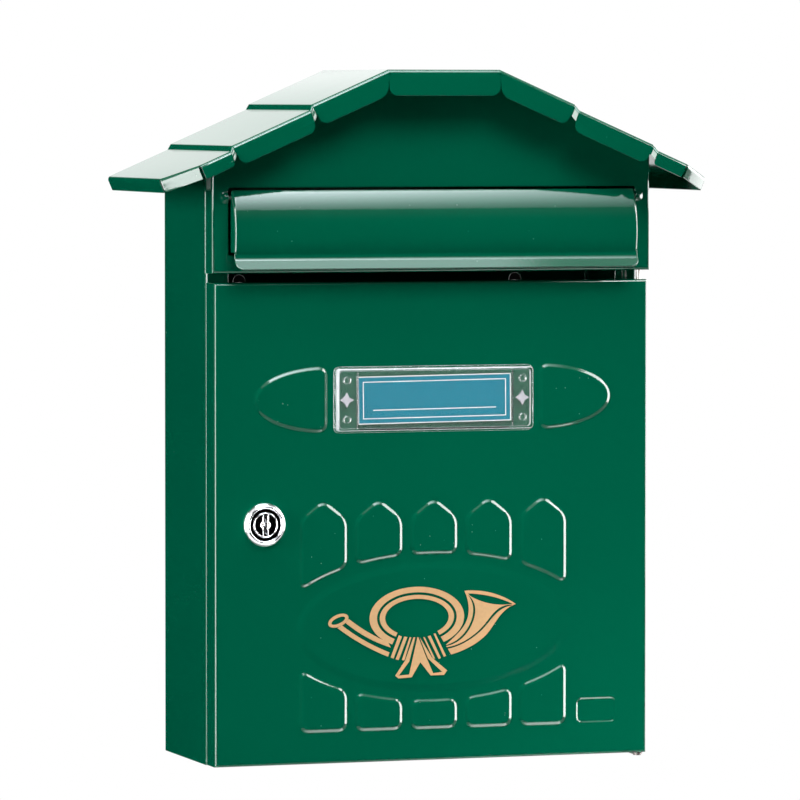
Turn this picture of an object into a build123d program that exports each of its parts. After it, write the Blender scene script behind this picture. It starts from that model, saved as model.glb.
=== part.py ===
from build123d import *
from math import atan2, cos, hypot, radians, sin, tan
import os

# A wall-mounted sheet-steel mailbox with a stepped house roof, a letter flap and a locked door.
# X runs to the right, Y towards the wall and Z up. The wall is the plane Y = 0, and the
# origin is the middle of the four wall holes. All sizes are in millimetres.

# Sheet and fits
SHEET = 0.8
SEAT_GAP = 0.2
RUNNING_CLEAR = 0.05
FASTENER_CLEAR = 0.1

# Body and door
BODY_WIDTH = 230.0
BODY_DEPTH = 89.3
DOOR_HEIGHT = 241.6
DOOR_FLANGE = 14.4
DOOR_CLEAR = 0.3
DOOR_FOLD_RADIUS = 1.6
JAMB_WIDTH = 12.0
FLOOR_RIM = 10.0
FLOOR_LIP = 8.0

# Wall holes
HOLE_SPACING_X = 150.0
HOLE_SPACING_Z = 180.0
HOLE_DIAMETER = 6.5
HOLES_ABOVE_BOTTOM = 150.0

# Door hinge
HINGE_INSET = 3.2
HINGE_SETBACK = 5.0
HINGE_PIN_DIAMETER = 2.4
HINGE_PIN_REACH = 4.0
HINGE_HEAD_DIAMETER = 4.0
HINGE_HEAD_THICKNESS = 0.6
SWING_CLEAR = 0.5
BRACKET_WIDTH = 5.0
BRACKET_LENGTH = 45.0

# Upper front panel and letter slot
FASCIA_GAP = 4.7
FASCIA_FLANGE = 10.5
FASCIA_EASE = 0.5
SLOT_ABOVE_EDGE = 9.0
SLOT_SIDE_MARGIN = 7.1
SLOT_HEIGHT = 33.7
SEAT_TAB_LENGTH = 24.0
SEAT_TAB_DEPTH = 10.0
SEAT_TAB_START = 8.0

# Letter flap
FLAP_SIDE_GAP = 1.2
FLAP_TOP_GAP = 1.2
FLAP_TOP_OUT = 2.0
FLAP_BULGE = 8.3
FLAP_BULGE_DROP = 20.0
FLAP_FOLD_OUT = 6.7
FLAP_FOLD_DROP = 0.8
FLAP_LIP_OUT = 10.5
FLAP_LIP_DROP = 6.8
FLAP_LIP_CORNER = 4.0
FLAP_STOP_GAP = 0.4
FLAP_EAR_RADIUS = 2.6
ROD_DROP = 5.0
ROD_DIAMETER = 2.4
ROD_POCKET = 2.2
ROD_POCKET_WALL = 0.6

# Roof
RIDGE_ABOVE_FASCIA = 101.4
RIDGE_HALF = 29.5
ROOF_PITCH = 23.5
PANEL_RUN = 40.0
STEP_OUT = 1.7
STEP_DROP = 2.9
EAVE_OVERHANG = 30.0
FRONT_OVERHANG = 17.6
CORNER_CUT = 16.0
RIDGE_TAB = 13.0
PANEL_TABS = (11.7, 10.8, 7.5)
CORNER_TAB = 7.0
EAVE_TAB = 7.2
TAB_CORNER = 4.5
TAB_CORNER_LIMIT = 0.9
TAB_SLIT = 0.4
STEP_STRIP = 7.5

# Pressed pattern of the door, heights counted from the body's bottom edge
PRESS_DEPTH = 1.2
PRESS_WALL = 0.9
PRESS_ROUND = 0.75
FENCE_PITCH = 29.2
PICKET_COUNT = 5
PICKET_WIDTH = 23.6
PICKET_PEAK = 132.2
PICKET_SHOULDER = 123.0
PICKET_FOOT = 17.0
PICKET_CORNER = 3.0
CLEARING_HALF_X = 84.0
CLEARING_HALF_Z = 37.4
OVAL_HEIGHT = 68.0
OVAL_HALF_X = 71.0
OVAL_HALF_Z = 31.0
OVAL_DEPTH = 0.9
LEAF_HEIGHT = 183.2
LEAF_GAP = 4.0
LEAF_LENGTH = 37.3
LEAF_HALF_Z = 15.8
LEAF_CORNER = 3.0
BADGE_LEFT = 77.2
BADGE_WIDTH = 20.7
BADGE_FOOT = 17.0
BADGE_HEIGHT = 12.0
BADGE_CORNER = 2.5
BADGE_DEPTH = 0.6

# Name holder
NAME_HEIGHT = 182.9
NAME_WIDTH = 106.0
NAME_TALL = 33.3
NAME_OUT = 4.2
NAME_WALL = 1.2
NAME_CORNER = 3.0
NAME_BASE_THICKNESS = 1.0
END_POCKET = 12.4
CARD_TALL = 24.0
CARD_THICKNESS = 0.4
CARD_RIB = 0.6
CARD_RIB_GAP = 0.2
POST_SPACING = 19.6
POST_DIAMETER = 4.4
RIVET_SHANK = 4.0
RIVET_STAR = 7.5
RIVET_STAR_WAIST = 3.6
RIVET_HEAD_THICKNESS = 1.2
RIVET_BARB = 5.8
RIVET_BARB_LENGTH = 1.8

# Cam lock
LOCK_FROM_EDGE = 26.0
LOCK_HEIGHT = 121.2
BEZEL_DIAMETER = 22.0
BEZEL_OUT = 3.0
BEZEL_BEVEL = 1.8
BEZEL_EDGE = 1.0
DISH_DIAMETER = 16.0
DISH_FLOOR = 1.6
BARREL_DIAMETER = 18.0
BARREL_HOLE_CLEAR = 0.2
PLUG_DIAMETER = 12.4
PLUG_OUT = 2.6
PLUG_RIM = 0.7
PLUG_RIM_DEPTH = 0.6
KEYWAY_WIDTH = 1.9
KEYWAY_TALL = 9.0
KEYWAY_DEPTH = 11.0
KEY_BAR_WIDTH = 1.3
KEY_BOSS_DIAMETER = 5.8
LOCK_WASHER_DIAMETER = 24.0
LOCK_WASHER_THICKNESS = 0.8
NUT_ACROSS_FLATS = 22.0
NUT_THICKNESS = 4.0
CAM_CLEAR = 0.5
CAM_THICKNESS = 2.0
CAM_BITE = 8.0
CAM_WIDTH = 14.0
SHANK_SQUARE = 7.0
CAM_WASHER_DIAMETER = 10.0
CAM_WASHER_THICKNESS = 0.8
CAM_SCREW_DIAMETER = 4.0
CAM_SCREW_LENGTH = 8.0
CAM_SCREW_HEAD_DIAMETER = 7.6
CAM_SCREW_HEAD_THICKNESS = 2.4
CAM_SCREW_SLOT_WIDTH = 1.0
CAM_SCREW_SLOT_DEPTH = 1.2

# Post horn printed on the oval, in millimetres from the middle of its coil
HORN_X = -9.1
HORN_HEIGHT = 72.8
HORN_THICKNESS = 0.25
COIL_BANDS = (((25.1, 15.5), (21.2, 12.7)), ((19.7, 11.4), (16.9, 9.4)))
HORN_KNOT = ((-9.8, -6.3), (10.3, -6.3), (18.3, -19.3), (-16.1, -19.3))
UPPER_TUBE = (
    ((-36.0, 0.2), (-28.0, -5.4), (-15.4, -12.0)),
    ((-37.7, -1.8), (-28.0, -8.5), (-13.9, -14.8)),
)
LOWER_TUBE = (
    ((-39.6, -3.0), (-28.0, -10.7), (-14.6, -17.2)),
    ((-42.1, -4.2), (-28.0, -13.3), (-15.4, -19.4)),
)
MOUTH_X = -41.6
MOUTH_Z = -0.5
MOUTH_TILT = 22.0
MOUTH_OUTER = (5.6, 3.0)
MOUTH_INNER = (3.9, 1.5)
BELL_WALL = ((15.3, -14.4), (22.1, -8.3), (26.7, -1.8), (27.5, 4.7), (25.2, 12.8))
BELL_RIM = ((25.2, 12.8), (37.8, 11.9), (47.2, 8.7), (52.8, 5.4))
BELL_BACK = ((52.8, 5.4), (44.1, -0.5), (37.4, -9.2), (28.8, -15.3), (17.2, -19.4))
BELL_WALL_GAP = (
    ((15.3, -14.9), (23.7, -11.4), (29.7, -3.4), (31.1, 2.7), (27.4, 10.6)),
    ((27.0, 10.8), (29.9, 2.7), (28.6, -3.0), (23.0, -10.6), (15.1, -14.4)),
)
BELL_RIM_GAP = (((27.2, 11.4), (39.3, 9.7), (50.8, 5.7)), ((50.8, 5.5), (38.6, 6.1), (28.2, 10.2)))
BELL_BACK_GAP = (
    ((50.6, 5.1), (41.7, 2.0), (35.4, -5.1), (28.4, -10.8), (15.6, -15.5)),
    ((15.8, -16.4), (28.4, -11.8), (35.8, -6.1), (42.5, 1.0), (50.8, 4.7)),
)
KNOT_BARS = (
    ((-9.6, -8.7), (-8.0, -9.4), (-12.5, -20.4), (-13.9, -19.8)),
    ((-6.7, -9.4), (-5.1, -9.8), (-9.7, -21.2), (-11.3, -20.8)),
    ((-3.8, -9.9), (-3.0, -10.0), (-6.7, -21.5), (-8.0, -21.3)),
    ((3.3, -10.0), (4.1, -10.0), (9.6, -21.0), (8.6, -21.0)),
    ((5.7, -9.7), (7.2, -9.3), (12.7, -20.8), (11.6, -21.3)),
    ((8.8, -8.4), (9.8, -8.3), (15.5, -19.8), (14.3, -20.3)),
)
RIBBON = (
    (-1.8, -10.0), (1.4, -10.0), (8.0, -20.5), (16.1, -27.2), (14.3, -29.4), (7.3, -29.5), (1.8, -22.6),
    (-2.8, -30.1), (-9.8, -30.5), (-11.5, -29.1), (-6.3, -21.7),
)
RIBBON_GAPS = (
    ((-0.8, -9.5), (-4.1, -22.1), (-9.7, -29.1), (-4.1, -28.7), (0.2, -10.2)),
    ((0.8, -10.2), (5.1, -20.6), (8.6, -28.4), (13.5, -27.9), (5.8, -20.8), (1.2, -9.5)),
)

# Places worked out from the sizes above
half = BODY_WIDTH / 2
bottom = -HOLES_ABOVE_BOTTOM
front = -BODY_DEPTH
door_inside = front + SHEET
door_bottom = bottom + DOOR_CLEAR
door_top = door_bottom + DOOR_HEIGHT
hinge_x = half - HINGE_INSET
hinge_y = front + HINGE_SETBACK
door_sweep = hypot(HINGE_INSET, DOOR_FLANGE - HINGE_SETBACK)
jamb_front = hinge_y + door_sweep + SWING_CLEAR
jamb_back = jamb_front + SHEET
fascia_bottom = door_top + FASCIA_GAP
fascia_half = half + FASCIA_EASE + SHEET
fascia_back = front + SHEET
side_step = fascia_bottom + SHEET + SEAT_GAP
slot_half = half - SLOT_SIDE_MARGIN
slot_bottom = fascia_bottom + SLOT_ABOVE_EDGE
slot_top = slot_bottom + SLOT_HEIGHT
rod_y = front + SHEET / 2
rod_z = slot_top - ROD_DROP
flap_half = slot_half - FLAP_SIDE_GAP
eave_half = half + EAVE_OVERHANG
ridge_top = fascia_bottom + RIDGE_ABOVE_FASCIA
roof_front = front - FRONT_OVERHANG
lock_x = -half + LOCK_FROM_EDGE
lock_z = bottom + LOCK_HEIGHT
cam_front = jamb_back + CAM_CLEAR
cam_reach = LOCK_FROM_EDGE - JAMB_WIDTH + CAM_BITE
barrel_end = cam_front - SEAT_GAP
name_z = bottom + NAME_HEIGHT
name_inside = front - NAME_OUT + NAME_WALL
base_front = front - NAME_BASE_THICKNESS
card_half = NAME_WIDTH / 2 - END_POCKET
rib_x = card_half + CARD_RIB_GAP
post_x = (rib_x + CARD_RIB + NAME_WIDTH / 2 - NAME_WALL) / 2
leaf_start = NAME_WIDTH / 2 + LEAF_GAP
oval_front = front - OVAL_DEPTH


def block(x0, x1, y0, y1, z0, z1):
    """Box between two corners."""
    return Pos((x0 + x1) / 2, (y0 + y1) / 2, (z0 + z1) / 2) * Box(x1 - x0, y1 - y0, z1 - z0)


def facing(y):
    """Plane at depth y that looks out of the box's front, with X right and Z up."""
    return Plane(origin=(0, y, 0), x_dir=(1, 0, 0), z_dir=(0, -1, 0))


def slab(outline, y_front, y_back):
    """Flat sketch in X and Z given the thickness between two depths."""
    return extrude(facing(y_back) * outline, amount=y_back - y_front)


def sideways(outline, x0, x1):
    """Flat sketch in Y and Z extruded from x0 to x1."""
    return extrude(Plane.YZ.offset(x0) * outline, amount=x1 - x0)


def rod(x, z, radius, y_front, y_back):
    """Round bar along Y."""
    return slab(Pos(x, z) * Circle(radius), y_front, y_back)


def polygon(points):
    """Closed straight-sided face."""
    return make_face(Polyline(*points, close=True))


def patch(first, second):
    """Face between two smooth lines that run on from each other, closed by straight ends."""
    edges = [Spline(*first), Line(first[-1], second[0]), Spline(*second), Line(second[-1], first[0])]
    return make_face(edges)


def strip(first, second):
    """Face between two smooth lines that run side by side."""
    return patch(first, tuple(reversed(second)))


def roof_line(drop):
    """Half outline of the roof from the ridge to the right eave, moved down square to each panel."""
    slope = tan(radians(ROOF_PITCH))
    x, z = RIDGE_HALF, ridge_top
    line = [(0.0, z), (x, z)]
    for _ in range(2):
        x, z = x + PANEL_RUN, z - PANEL_RUN * slope
        line.append((x, z))
        x, z = x + STEP_OUT, z - STEP_DROP
        line.append((x, z))
    line.append((eave_half, z - (eave_half - x) * slope))
    return offset_line(line, drop)


def offset_line(line, drop):
    """Open line moved square to each of its stretches, with mitred corners."""
    headings = [atan2(b[1] - a[1], b[0] - a[0]) for a, b in zip(line, line[1:])]
    before = [headings[0]] + headings
    after = headings + [headings[-1]]
    moved = []
    for (x, z), start, end in zip(line, before, after):
        middle = (start + end) / 2
        reach = drop / cos((end - start) / 2)
        moved.append((x + reach * sin(middle), z - reach * cos(middle)))
    return moved


def whole_roof_line(drop):
    """Outline of the roof from the left eave to the right eave."""
    right = roof_line(drop)
    left = [(-x, z) for x, z in reversed(right[1:])]
    return left + right


def roof_height(x, drop):
    """Height of the moved roof line at a distance x from the middle."""
    line = roof_line(drop)
    for (x0, z0), (x1, z1) in zip(line, line[1:]):
        if x0 <= x <= x1:
            return z0 + (z1 - z0) * (x - x0) / (x1 - x0)
    raise ValueError("beyond the eave")


def gable(half_width, foot):
    """Face that fills the space under the roof between two upright sides."""
    drop = SHEET + SEAT_GAP
    top = [(x, z) for x, z in whole_roof_line(drop) if abs(x) < half_width]
    shoulder = roof_height(half_width, drop)
    left = [(-half_width, foot), (-half_width, shoulder)]
    right = [(half_width, shoulder), (half_width, foot)]
    return polygon(left + top + right)


def seat_tabs(y_front, y_back):
    """Pair of tabs under the first roof panels, to which the roof is welded."""
    upper = roof_line(SHEET + SEAT_GAP)
    lower = roof_line(2 * SHEET + SEAT_GAP)
    first = SEAT_TAB_START / PANEL_RUN
    last = (SEAT_TAB_START + SEAT_TAB_LENGTH) / PANEL_RUN
    corners = [between(upper, first), between(upper, last), between(lower, last), between(lower, first)]
    tab = slab(polygon(corners), y_front, y_back)
    return tab + mirror(tab, about=Plane.YZ)


def between(line, share):
    """Point on the first sloping roof panel, as a share of its run."""
    (x0, z0), (x1, z1) = line[1], line[2]
    return (x0 + share * (x1 - x0), z0 + share * (z1 - z0))


def body_shell():
    """Folded back, sides and door jambs."""
    shell = slab(gable(half, bottom), -SHEET, 0)
    top = roof_height(half, SHEET + SEAT_GAP)
    upper_front = fascia_back + SEAT_GAP
    side = polygon([
        (0, bottom), (jamb_front, bottom), (jamb_front, side_step),
        (upper_front, side_step), (upper_front, top), (0, top),
    ])
    for outer in (-half, half - SHEET):
        shell += sideways(side, outer, outer + SHEET)
    for inner in (-half, half - JAMB_WIDTH):
        shell += block(inner, inner + JAMB_WIDTH, jamb_front, jamb_back, bottom, side_step)
    shell += seat_tabs(-SHEET - SEAT_TAB_DEPTH, -SHEET)
    for x in (-HOLE_SPACING_X / 2, HOLE_SPACING_X / 2):
        for z in (-HOLE_SPACING_Z / 2, HOLE_SPACING_Z / 2):
            shell -= rod(x, z, HOLE_DIAMETER / 2, -2 * SHEET, SHEET)
    return shell


def floor_tray():
    """Floor with turned-up edges inside the shell."""
    side = half - SHEET - SEAT_GAP
    back = -SHEET - SEAT_GAP
    lip_half = half - JAMB_WIDTH - SEAT_GAP
    rim_front = jamb_back + SEAT_GAP
    tray = block(-side, side, rim_front, back, bottom, bottom + SHEET)
    tray += block(-side, -side + SHEET, rim_front, back, bottom, bottom + FLOOR_RIM)
    tray += block(side - SHEET, side, rim_front, back, bottom, bottom + FLOOR_RIM)
    tray += block(-side, side, back - SHEET, back, bottom, bottom + FLOOR_RIM)
    tray += block(-lip_half, lip_half, jamb_front, rim_front + SHEET, bottom, bottom + SHEET)
    tray += block(-lip_half, lip_half, jamb_front, jamb_back, bottom, bottom + FLOOR_LIP)
    return tray


def fascia():
    """Upper front panel with its letter slot, folded edges and the pressed pockets of the flap's rod."""
    panel = slab(gable(fascia_half, fascia_bottom), front, fascia_back)
    flange_back = front + FASCIA_FLANGE
    top = roof_height(fascia_half, SHEET + SEAT_GAP)
    for outer in (-fascia_half, fascia_half - SHEET):
        panel += block(outer, outer + SHEET, front, flange_back, fascia_bottom, top)
    panel += block(-fascia_half, fascia_half, front, flange_back, fascia_bottom, fascia_bottom + SHEET)
    panel += seat_tabs(fascia_back, fascia_back + SEAT_TAB_DEPTH)
    lowest_edge = panel.edges().filter_by(Axis.X).group_by(Axis.Y)[0].group_by(Axis.Z)[0]
    panel = fillet(lowest_edge, SHEET)
    panel -= block(-slot_half, slot_half, front - SHEET, fascia_back + SHEET, slot_bottom, slot_top)
    pocket_radius = ROD_DIAMETER / 2 + ROD_POCKET_WALL
    ring = Pos(rod_y, rod_z) * Circle(pocket_radius)
    bore = Pos(rod_y, rod_z) * Circle(ROD_DIAMETER / 2 + RUNNING_CLEAR)
    pocket_end = slot_half + ROD_POCKET
    for side in (-1, 1):
        panel += sideways(ring, side * slot_half, side * (pocket_end + ROD_POCKET_WALL))
        panel -= sideways(bore, side * slot_half, side * pocket_end)
    pin_hole = Pos(hinge_x, hinge_y) * Circle(HINGE_PIN_DIAMETER / 2 + FASTENER_CLEAR)
    panel -= Pos(0, 0, fascia_bottom - SHEET) * extrude(pin_hole, amount=3 * SHEET)
    return panel


def flap_rod():
    """Straight wire across the slot."""
    reach = slot_half + ROD_POCKET - SEAT_GAP
    return sideways(Pos(rod_y, rod_z) * Circle(ROD_DIAMETER / 2), -reach, reach)


def flap():
    """Bulged letter flap with a flared finger lip and an ear at each end."""
    top = slot_top - FLAP_TOP_GAP
    outer = [
        (front - FLAP_TOP_OUT, top),
        (front - FLAP_BULGE, top - FLAP_BULGE_DROP),
        (front - FLAP_FOLD_OUT, slot_bottom - FLAP_FOLD_DROP),
        (front - FLAP_LIP_OUT, slot_bottom - FLAP_LIP_DROP),
    ]
    inner = [(y + SHEET, z) for y, z in outer]
    sheet = make_face([
        ThreePointArc(*outer[:3]), Line(outer[2], outer[3]), Line(outer[3], inner[3]),
        Line(inner[3], inner[2]), ThreePointArc(*reversed(inner[:3])), Line(inner[0], outer[0]),
    ])
    stop = front - FLAP_STOP_GAP
    ear = make_face([
        ThreePointArc(*outer[:3]), Line(outer[2], (stop, outer[2][1])),
        Line((stop, outer[2][1]), (stop, top)), Line((stop, top), outer[0]),
    ])
    ear += Pos(rod_y, rod_z) * Circle(FLAP_EAR_RADIUS)
    ear -= Pos(rod_y, rod_z) * Circle(ROD_DIAMETER / 2 + RUNNING_CLEAR)
    plate = sideways(sheet, -flap_half, flap_half)
    tall = top - outer[3][1]
    outline = Pos(0, top - tall / 2) * Rectangle(2 * flap_half, tall)
    outline = fillet(outline.vertices().group_by(Axis.Y)[0], FLAP_LIP_CORNER)
    plate &= slab(outline, front - 2 * FLAP_LIP_OUT, front)
    for start in (-flap_half, flap_half - SHEET):
        plate += sideways(ear, start, start + SHEET)
    return plate


def at_front(point):
    """Point of the roof line carried to the roof's front edge."""
    return (point[0], roof_front, point[1])


def roof_tab(start, end, normal, depth, lean=0.0, slit=0.0):
    """Flange folded down from an edge of the roof, square to the panel whose upward normal is given."""
    along = Vector(end) - Vector(start)
    length = along.length
    plane = Plane(origin=start, x_dir=along, z_dir=along.cross(Vector(normal)))
    face = polygon([(slit, 0), (length - slit, 0), (length - slit, -depth), (slit + lean, -depth)])
    corner = min(TAB_CORNER, TAB_CORNER_LIMIT * depth, TAB_CORNER_LIMIT / 2 * (length - 2 * slit - lean))
    face = fillet(face.vertices().group_by(Axis.Y)[0], corner)
    return extrude(plane * face, amount=-SHEET)


def roof():
    """Stepped roof sheet with cut corners and folded-down edges."""
    outer = whole_roof_line(0)
    inner = whole_roof_line(SHEET)
    sheet = slab(polygon(outer + inner[::-1]), roof_front, 0)
    corner_y = roof_front + CORNER_CUT
    corner_x = eave_half - CORNER_CUT
    cut = polygon([(corner_x, roof_front), (eave_half, corner_y), (eave_half, roof_front)])
    knife = Pos(0, 0, bottom) * extrude(cut, amount=ridge_top - bottom + SHEET)
    sheet -= knife + mirror(knife, about=Plane.YZ)

    line = roof_line(0)
    pitch = radians(ROOF_PITCH)
    normal = Vector(sin(pitch), 0, cos(pitch))
    corner_z = roof_height(corner_x, 0)
    eave_z = line[-1][1]
    panels = [(line[1], line[2]), (line[3], line[4]), (line[5], (corner_x, corner_z))]
    tabs = []
    for index, (start, end) in enumerate(panels):
        depth = PANEL_TABS[index]
        lean = depth * tan(pitch) if index == 0 else 0.0
        slit = TAB_SLIT if index == 0 else 0.0
        tabs.append(roof_tab(at_front(start), at_front(end), normal, depth, lean, slit))
    front_corner = at_front((corner_x, corner_z))
    side_corner = (eave_half, corner_y, eave_z)
    tabs.append(roof_tab(front_corner, side_corner, normal, CORNER_TAB, slit=TAB_SLIT))
    tabs.append(roof_tab(side_corner, (eave_half, 0, eave_z), normal, EAVE_TAB, slit=TAB_SLIT))
    for (x0, z0), (x1, z1) in ((line[2], line[3]), (line[4], line[5])):
        dx, dz = STEP_STRIP * normal.X, STEP_STRIP * normal.Z
        step = polygon([(x0, z0), (x1, z1), (x1 - dx, z1 - dz), (x0 - dx, z0 - dz)])
        tabs.append(slab(step, roof_front, roof_front + SHEET))
    ridge_ends = at_front((-RIDGE_HALF, ridge_top)), at_front((RIDGE_HALF, ridge_top))
    sheet += roof_tab(*ridge_ends, (0, 0, 1), RIDGE_TAB)
    for tab in tabs:
        sheet += tab
        sheet += mirror(tab, about=Plane.YZ)
    return sheet


def picket_faces(inset):
    """Pickets of the pressed fence, parted by the oval clearing and drawn in all round."""
    clearing = Pos(0, bottom + OVAL_HEIGHT) * Ellipse(CLEARING_HALF_X + inset, CLEARING_HALF_Z + inset)
    rake = atan2(PICKET_PEAK - PICKET_SHOULDER, PICKET_WIDTH / 2)
    peak = bottom + PICKET_PEAK - inset / cos(rake)
    shoulder = bottom + PICKET_SHOULDER + inset * tan(rake) - inset / cos(rake)
    foot = bottom + PICKET_FOOT + inset
    reach = PICKET_WIDTH / 2 - inset
    faces = []
    for index in range(PICKET_COUNT):
        x = (index - (PICKET_COUNT - 1) / 2) * FENCE_PITCH
        board = polygon([
            (x - reach, foot), (x + reach, foot), (x + reach, shoulder), (x, peak), (x - reach, shoulder),
        ])
        for half_board in (board - clearing).faces().sort_by(Axis.Y):
            faces.append(half_board.fillet_2d(PICKET_CORNER - inset, half_board.vertices()))
    return faces


def leaf_faces(inset):
    """Half-oval panels at the two ends of the name holder, drawn in all round."""
    oval = Pos(-leaf_start) * Ellipse(LEAF_LENGTH - inset, LEAF_HALF_Z - inset)
    window = Pos(-leaf_start - inset - LEAF_LENGTH) * Rectangle(2 * LEAF_LENGTH, 2 * LEAF_LENGTH)
    half_oval = (Pos(0, bottom + LEAF_HEIGHT) * (oval & window)).face()
    leaf = half_oval.fillet_2d(LEAF_CORNER - inset, half_oval.vertices())
    return [leaf, mirror(leaf, about=Plane.YZ)]


def oval_face(inset):
    """Oval field of the emblem, drawn in all round."""
    return Pos(0, bottom + OVAL_HEIGHT) * Ellipse(OVAL_HALF_X - inset, OVAL_HALF_Z - inset)


def pressed(pan, face, hollow, depth):
    """Pan with one face of its front pressed outwards with rounded shoulders, hollow behind."""
    pad = slab(face, front - depth, front)
    pan += fillet(pad.faces().sort_by(Axis.Y)[0].edges(), depth * PRESS_ROUND)
    return pan - slab(hollow, front - depth + SHEET, door_inside)


def door():
    """Door pan with its folded edges and pressed pattern."""
    flange_back = front + DOOR_FLANGE
    outer = block(-half, half, front, flange_back, door_bottom, door_top)
    outer = fillet(outer.faces().sort_by(Axis.Y)[0].edges(), DOOR_FOLD_RADIUS)
    inside = half - SHEET
    inner = block(-inside, inside, door_inside, flange_back, door_bottom + SHEET, door_top - SHEET)
    inner = fillet(inner.faces().sort_by(Axis.Y)[0].edges(), DOOR_FOLD_RADIUS - SHEET)
    pan = outer - inner
    faces = picket_faces(0) + leaf_faces(0)
    hollows = picket_faces(PRESS_WALL) + leaf_faces(PRESS_WALL)
    for face, hollow in zip(faces, hollows):
        pan = pressed(pan, face, hollow, PRESS_DEPTH)
    pan = pressed(pan, oval_face(0), oval_face(PRESS_WALL), OVAL_DEPTH)
    badge_x = BADGE_LEFT + BADGE_WIDTH / 2
    badge_z = bottom + BADGE_FOOT + BADGE_HEIGHT / 2
    badge = RectangleRounded(BADGE_WIDTH, BADGE_HEIGHT, BADGE_CORNER)
    dent = RectangleRounded(BADGE_WIDTH - 2 * SHEET, BADGE_HEIGHT - 2 * SHEET, BADGE_CORNER - SHEET)
    pan += slab(Pos(badge_x, badge_z) * badge, door_inside, door_inside + BADGE_DEPTH)
    pan -= slab(Pos(badge_x, badge_z) * dent, front, front + BADGE_DEPTH)
    pan -= rod(lock_x, lock_z, BARREL_DIAMETER / 2 + BARREL_HOLE_CLEAR, front - SHEET, door_inside + SHEET)
    for x in (-post_x, post_x):
        pan -= rod(x, name_z, RIVET_SHANK / 2 + FASTENER_CLEAR, front - SHEET, door_inside + SHEET)
    pivot = Pos(hinge_x, hinge_y, door_bottom) * extrude(
        Circle(HINGE_PIN_DIAMETER / 2 + RUNNING_CLEAR), amount=DOOR_HEIGHT)
    return pan - pivot


def hinge_pin(head_face, end):
    """Upright pivot pin with its head on one side of its seat."""
    grows = 1 if head_face < end else -1
    shank = extrude(Circle(HINGE_PIN_DIAMETER / 2), amount=end - head_face)
    head = extrude(Circle(HINGE_HEAD_DIAMETER / 2), amount=-grows * HINGE_HEAD_THICKNESS)
    return Pos(hinge_x, hinge_y, head_face) * (shank + head)


def upper_hinge_pin():
    """Pin that hangs from the upper panel's folded edge into the door's top."""
    return hinge_pin(fascia_bottom + SHEET, door_top - SHEET - HINGE_PIN_REACH)


def lower_hinge_pin():
    """Pin that stands on the bracket under the floor and carries the door's foot."""
    return hinge_pin(bottom - SHEET, door_bottom + SHEET + HINGE_PIN_REACH)


def lower_hinge_bracket():
    """Strip under the floor that reaches forward below the door."""
    tip = Pos(hinge_x, hinge_y) * Circle(BRACKET_WIDTH / 2)
    arm = Pos(hinge_x, hinge_y + BRACKET_LENGTH / 2) * Rectangle(BRACKET_WIDTH, BRACKET_LENGTH)
    hole = Pos(hinge_x, hinge_y) * Circle(HINGE_PIN_DIAMETER / 2 + FASTENER_CLEAR)
    return Pos(0, 0, bottom - SHEET) * extrude(tip + arm - hole, amount=SHEET)


def name_base():
    """Clear base plate of the name holder."""
    inner_width = NAME_WIDTH - 2 * NAME_WALL - 2 * SEAT_GAP
    inner_tall = NAME_TALL - 2 * NAME_WALL - 2 * SEAT_GAP
    plate = slab(Pos(0, name_z) * Rectangle(inner_width, inner_tall), base_front, front)
    for x in (-post_x, post_x):
        plate -= rod(x, name_z, RIVET_SHANK / 2 + FASTENER_CLEAR, base_front - SHEET, front + SHEET)
    return plate


def name_window():
    """Clear cover of the name holder with its corner posts and the ribs beside the card."""
    outline = Pos(0, name_z) * RectangleRounded(NAME_WIDTH, NAME_TALL, NAME_CORNER)
    inner_width, inner_tall = NAME_WIDTH - 2 * NAME_WALL, NAME_TALL - 2 * NAME_WALL
    cover = slab(outline, front - NAME_OUT, front)
    cover = fillet(cover.faces().sort_by(Axis.Y)[0].edges(), NAME_WALL / 2)
    cover -= slab(Pos(0, name_z) * Rectangle(inner_width, inner_tall), name_inside, front)
    for side in (-1, 1):
        rib = Pos(side * (rib_x + CARD_RIB / 2), name_z) * Rectangle(CARD_RIB, inner_tall)
        cover += slab(rib, name_inside, base_front)
        for z in (-POST_SPACING / 2, POST_SPACING / 2):
            cover += rod(side * post_x, name_z + z, POST_DIAMETER / 2, name_inside, base_front)
    return cover


def name_card():
    """Paper card under the cover."""
    card = Pos(0, name_z) * Rectangle(2 * card_half, CARD_TALL)
    return slab(card, base_front - CARD_THICKNESS, base_front)


def name_rivet(x):
    """Snap rivet with a four-pointed head in the end pocket and a barb behind the door."""
    waist = RIVET_STAR_WAIST / 2 * cos(radians(45))
    points = []
    for turn in range(4):
        angle = radians(90 * turn)
        points.append((RIVET_STAR / 2 * cos(angle), RIVET_STAR / 2 * sin(angle)))
        points.append((waist * (cos(angle) - sin(angle)), waist * (sin(angle) + cos(angle))))
    star = Pos(x, name_z) * polygon(points)
    rivet = slab(star, base_front - RIVET_HEAD_THICKNESS, base_front)
    barb_front = door_inside + SEAT_GAP
    rivet += rod(x, name_z, RIVET_SHANK / 2, base_front, barb_front)
    return rivet + rod(x, name_z, RIVET_BARB / 2, barb_front, barb_front + RIVET_BARB_LENGTH)


def name_rivet_left():
    """Snap rivet in the left end pocket."""
    return name_rivet(-post_x)


def name_rivet_right():
    """Snap rivet in the right end pocket."""
    return name_rivet(post_x)


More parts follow.
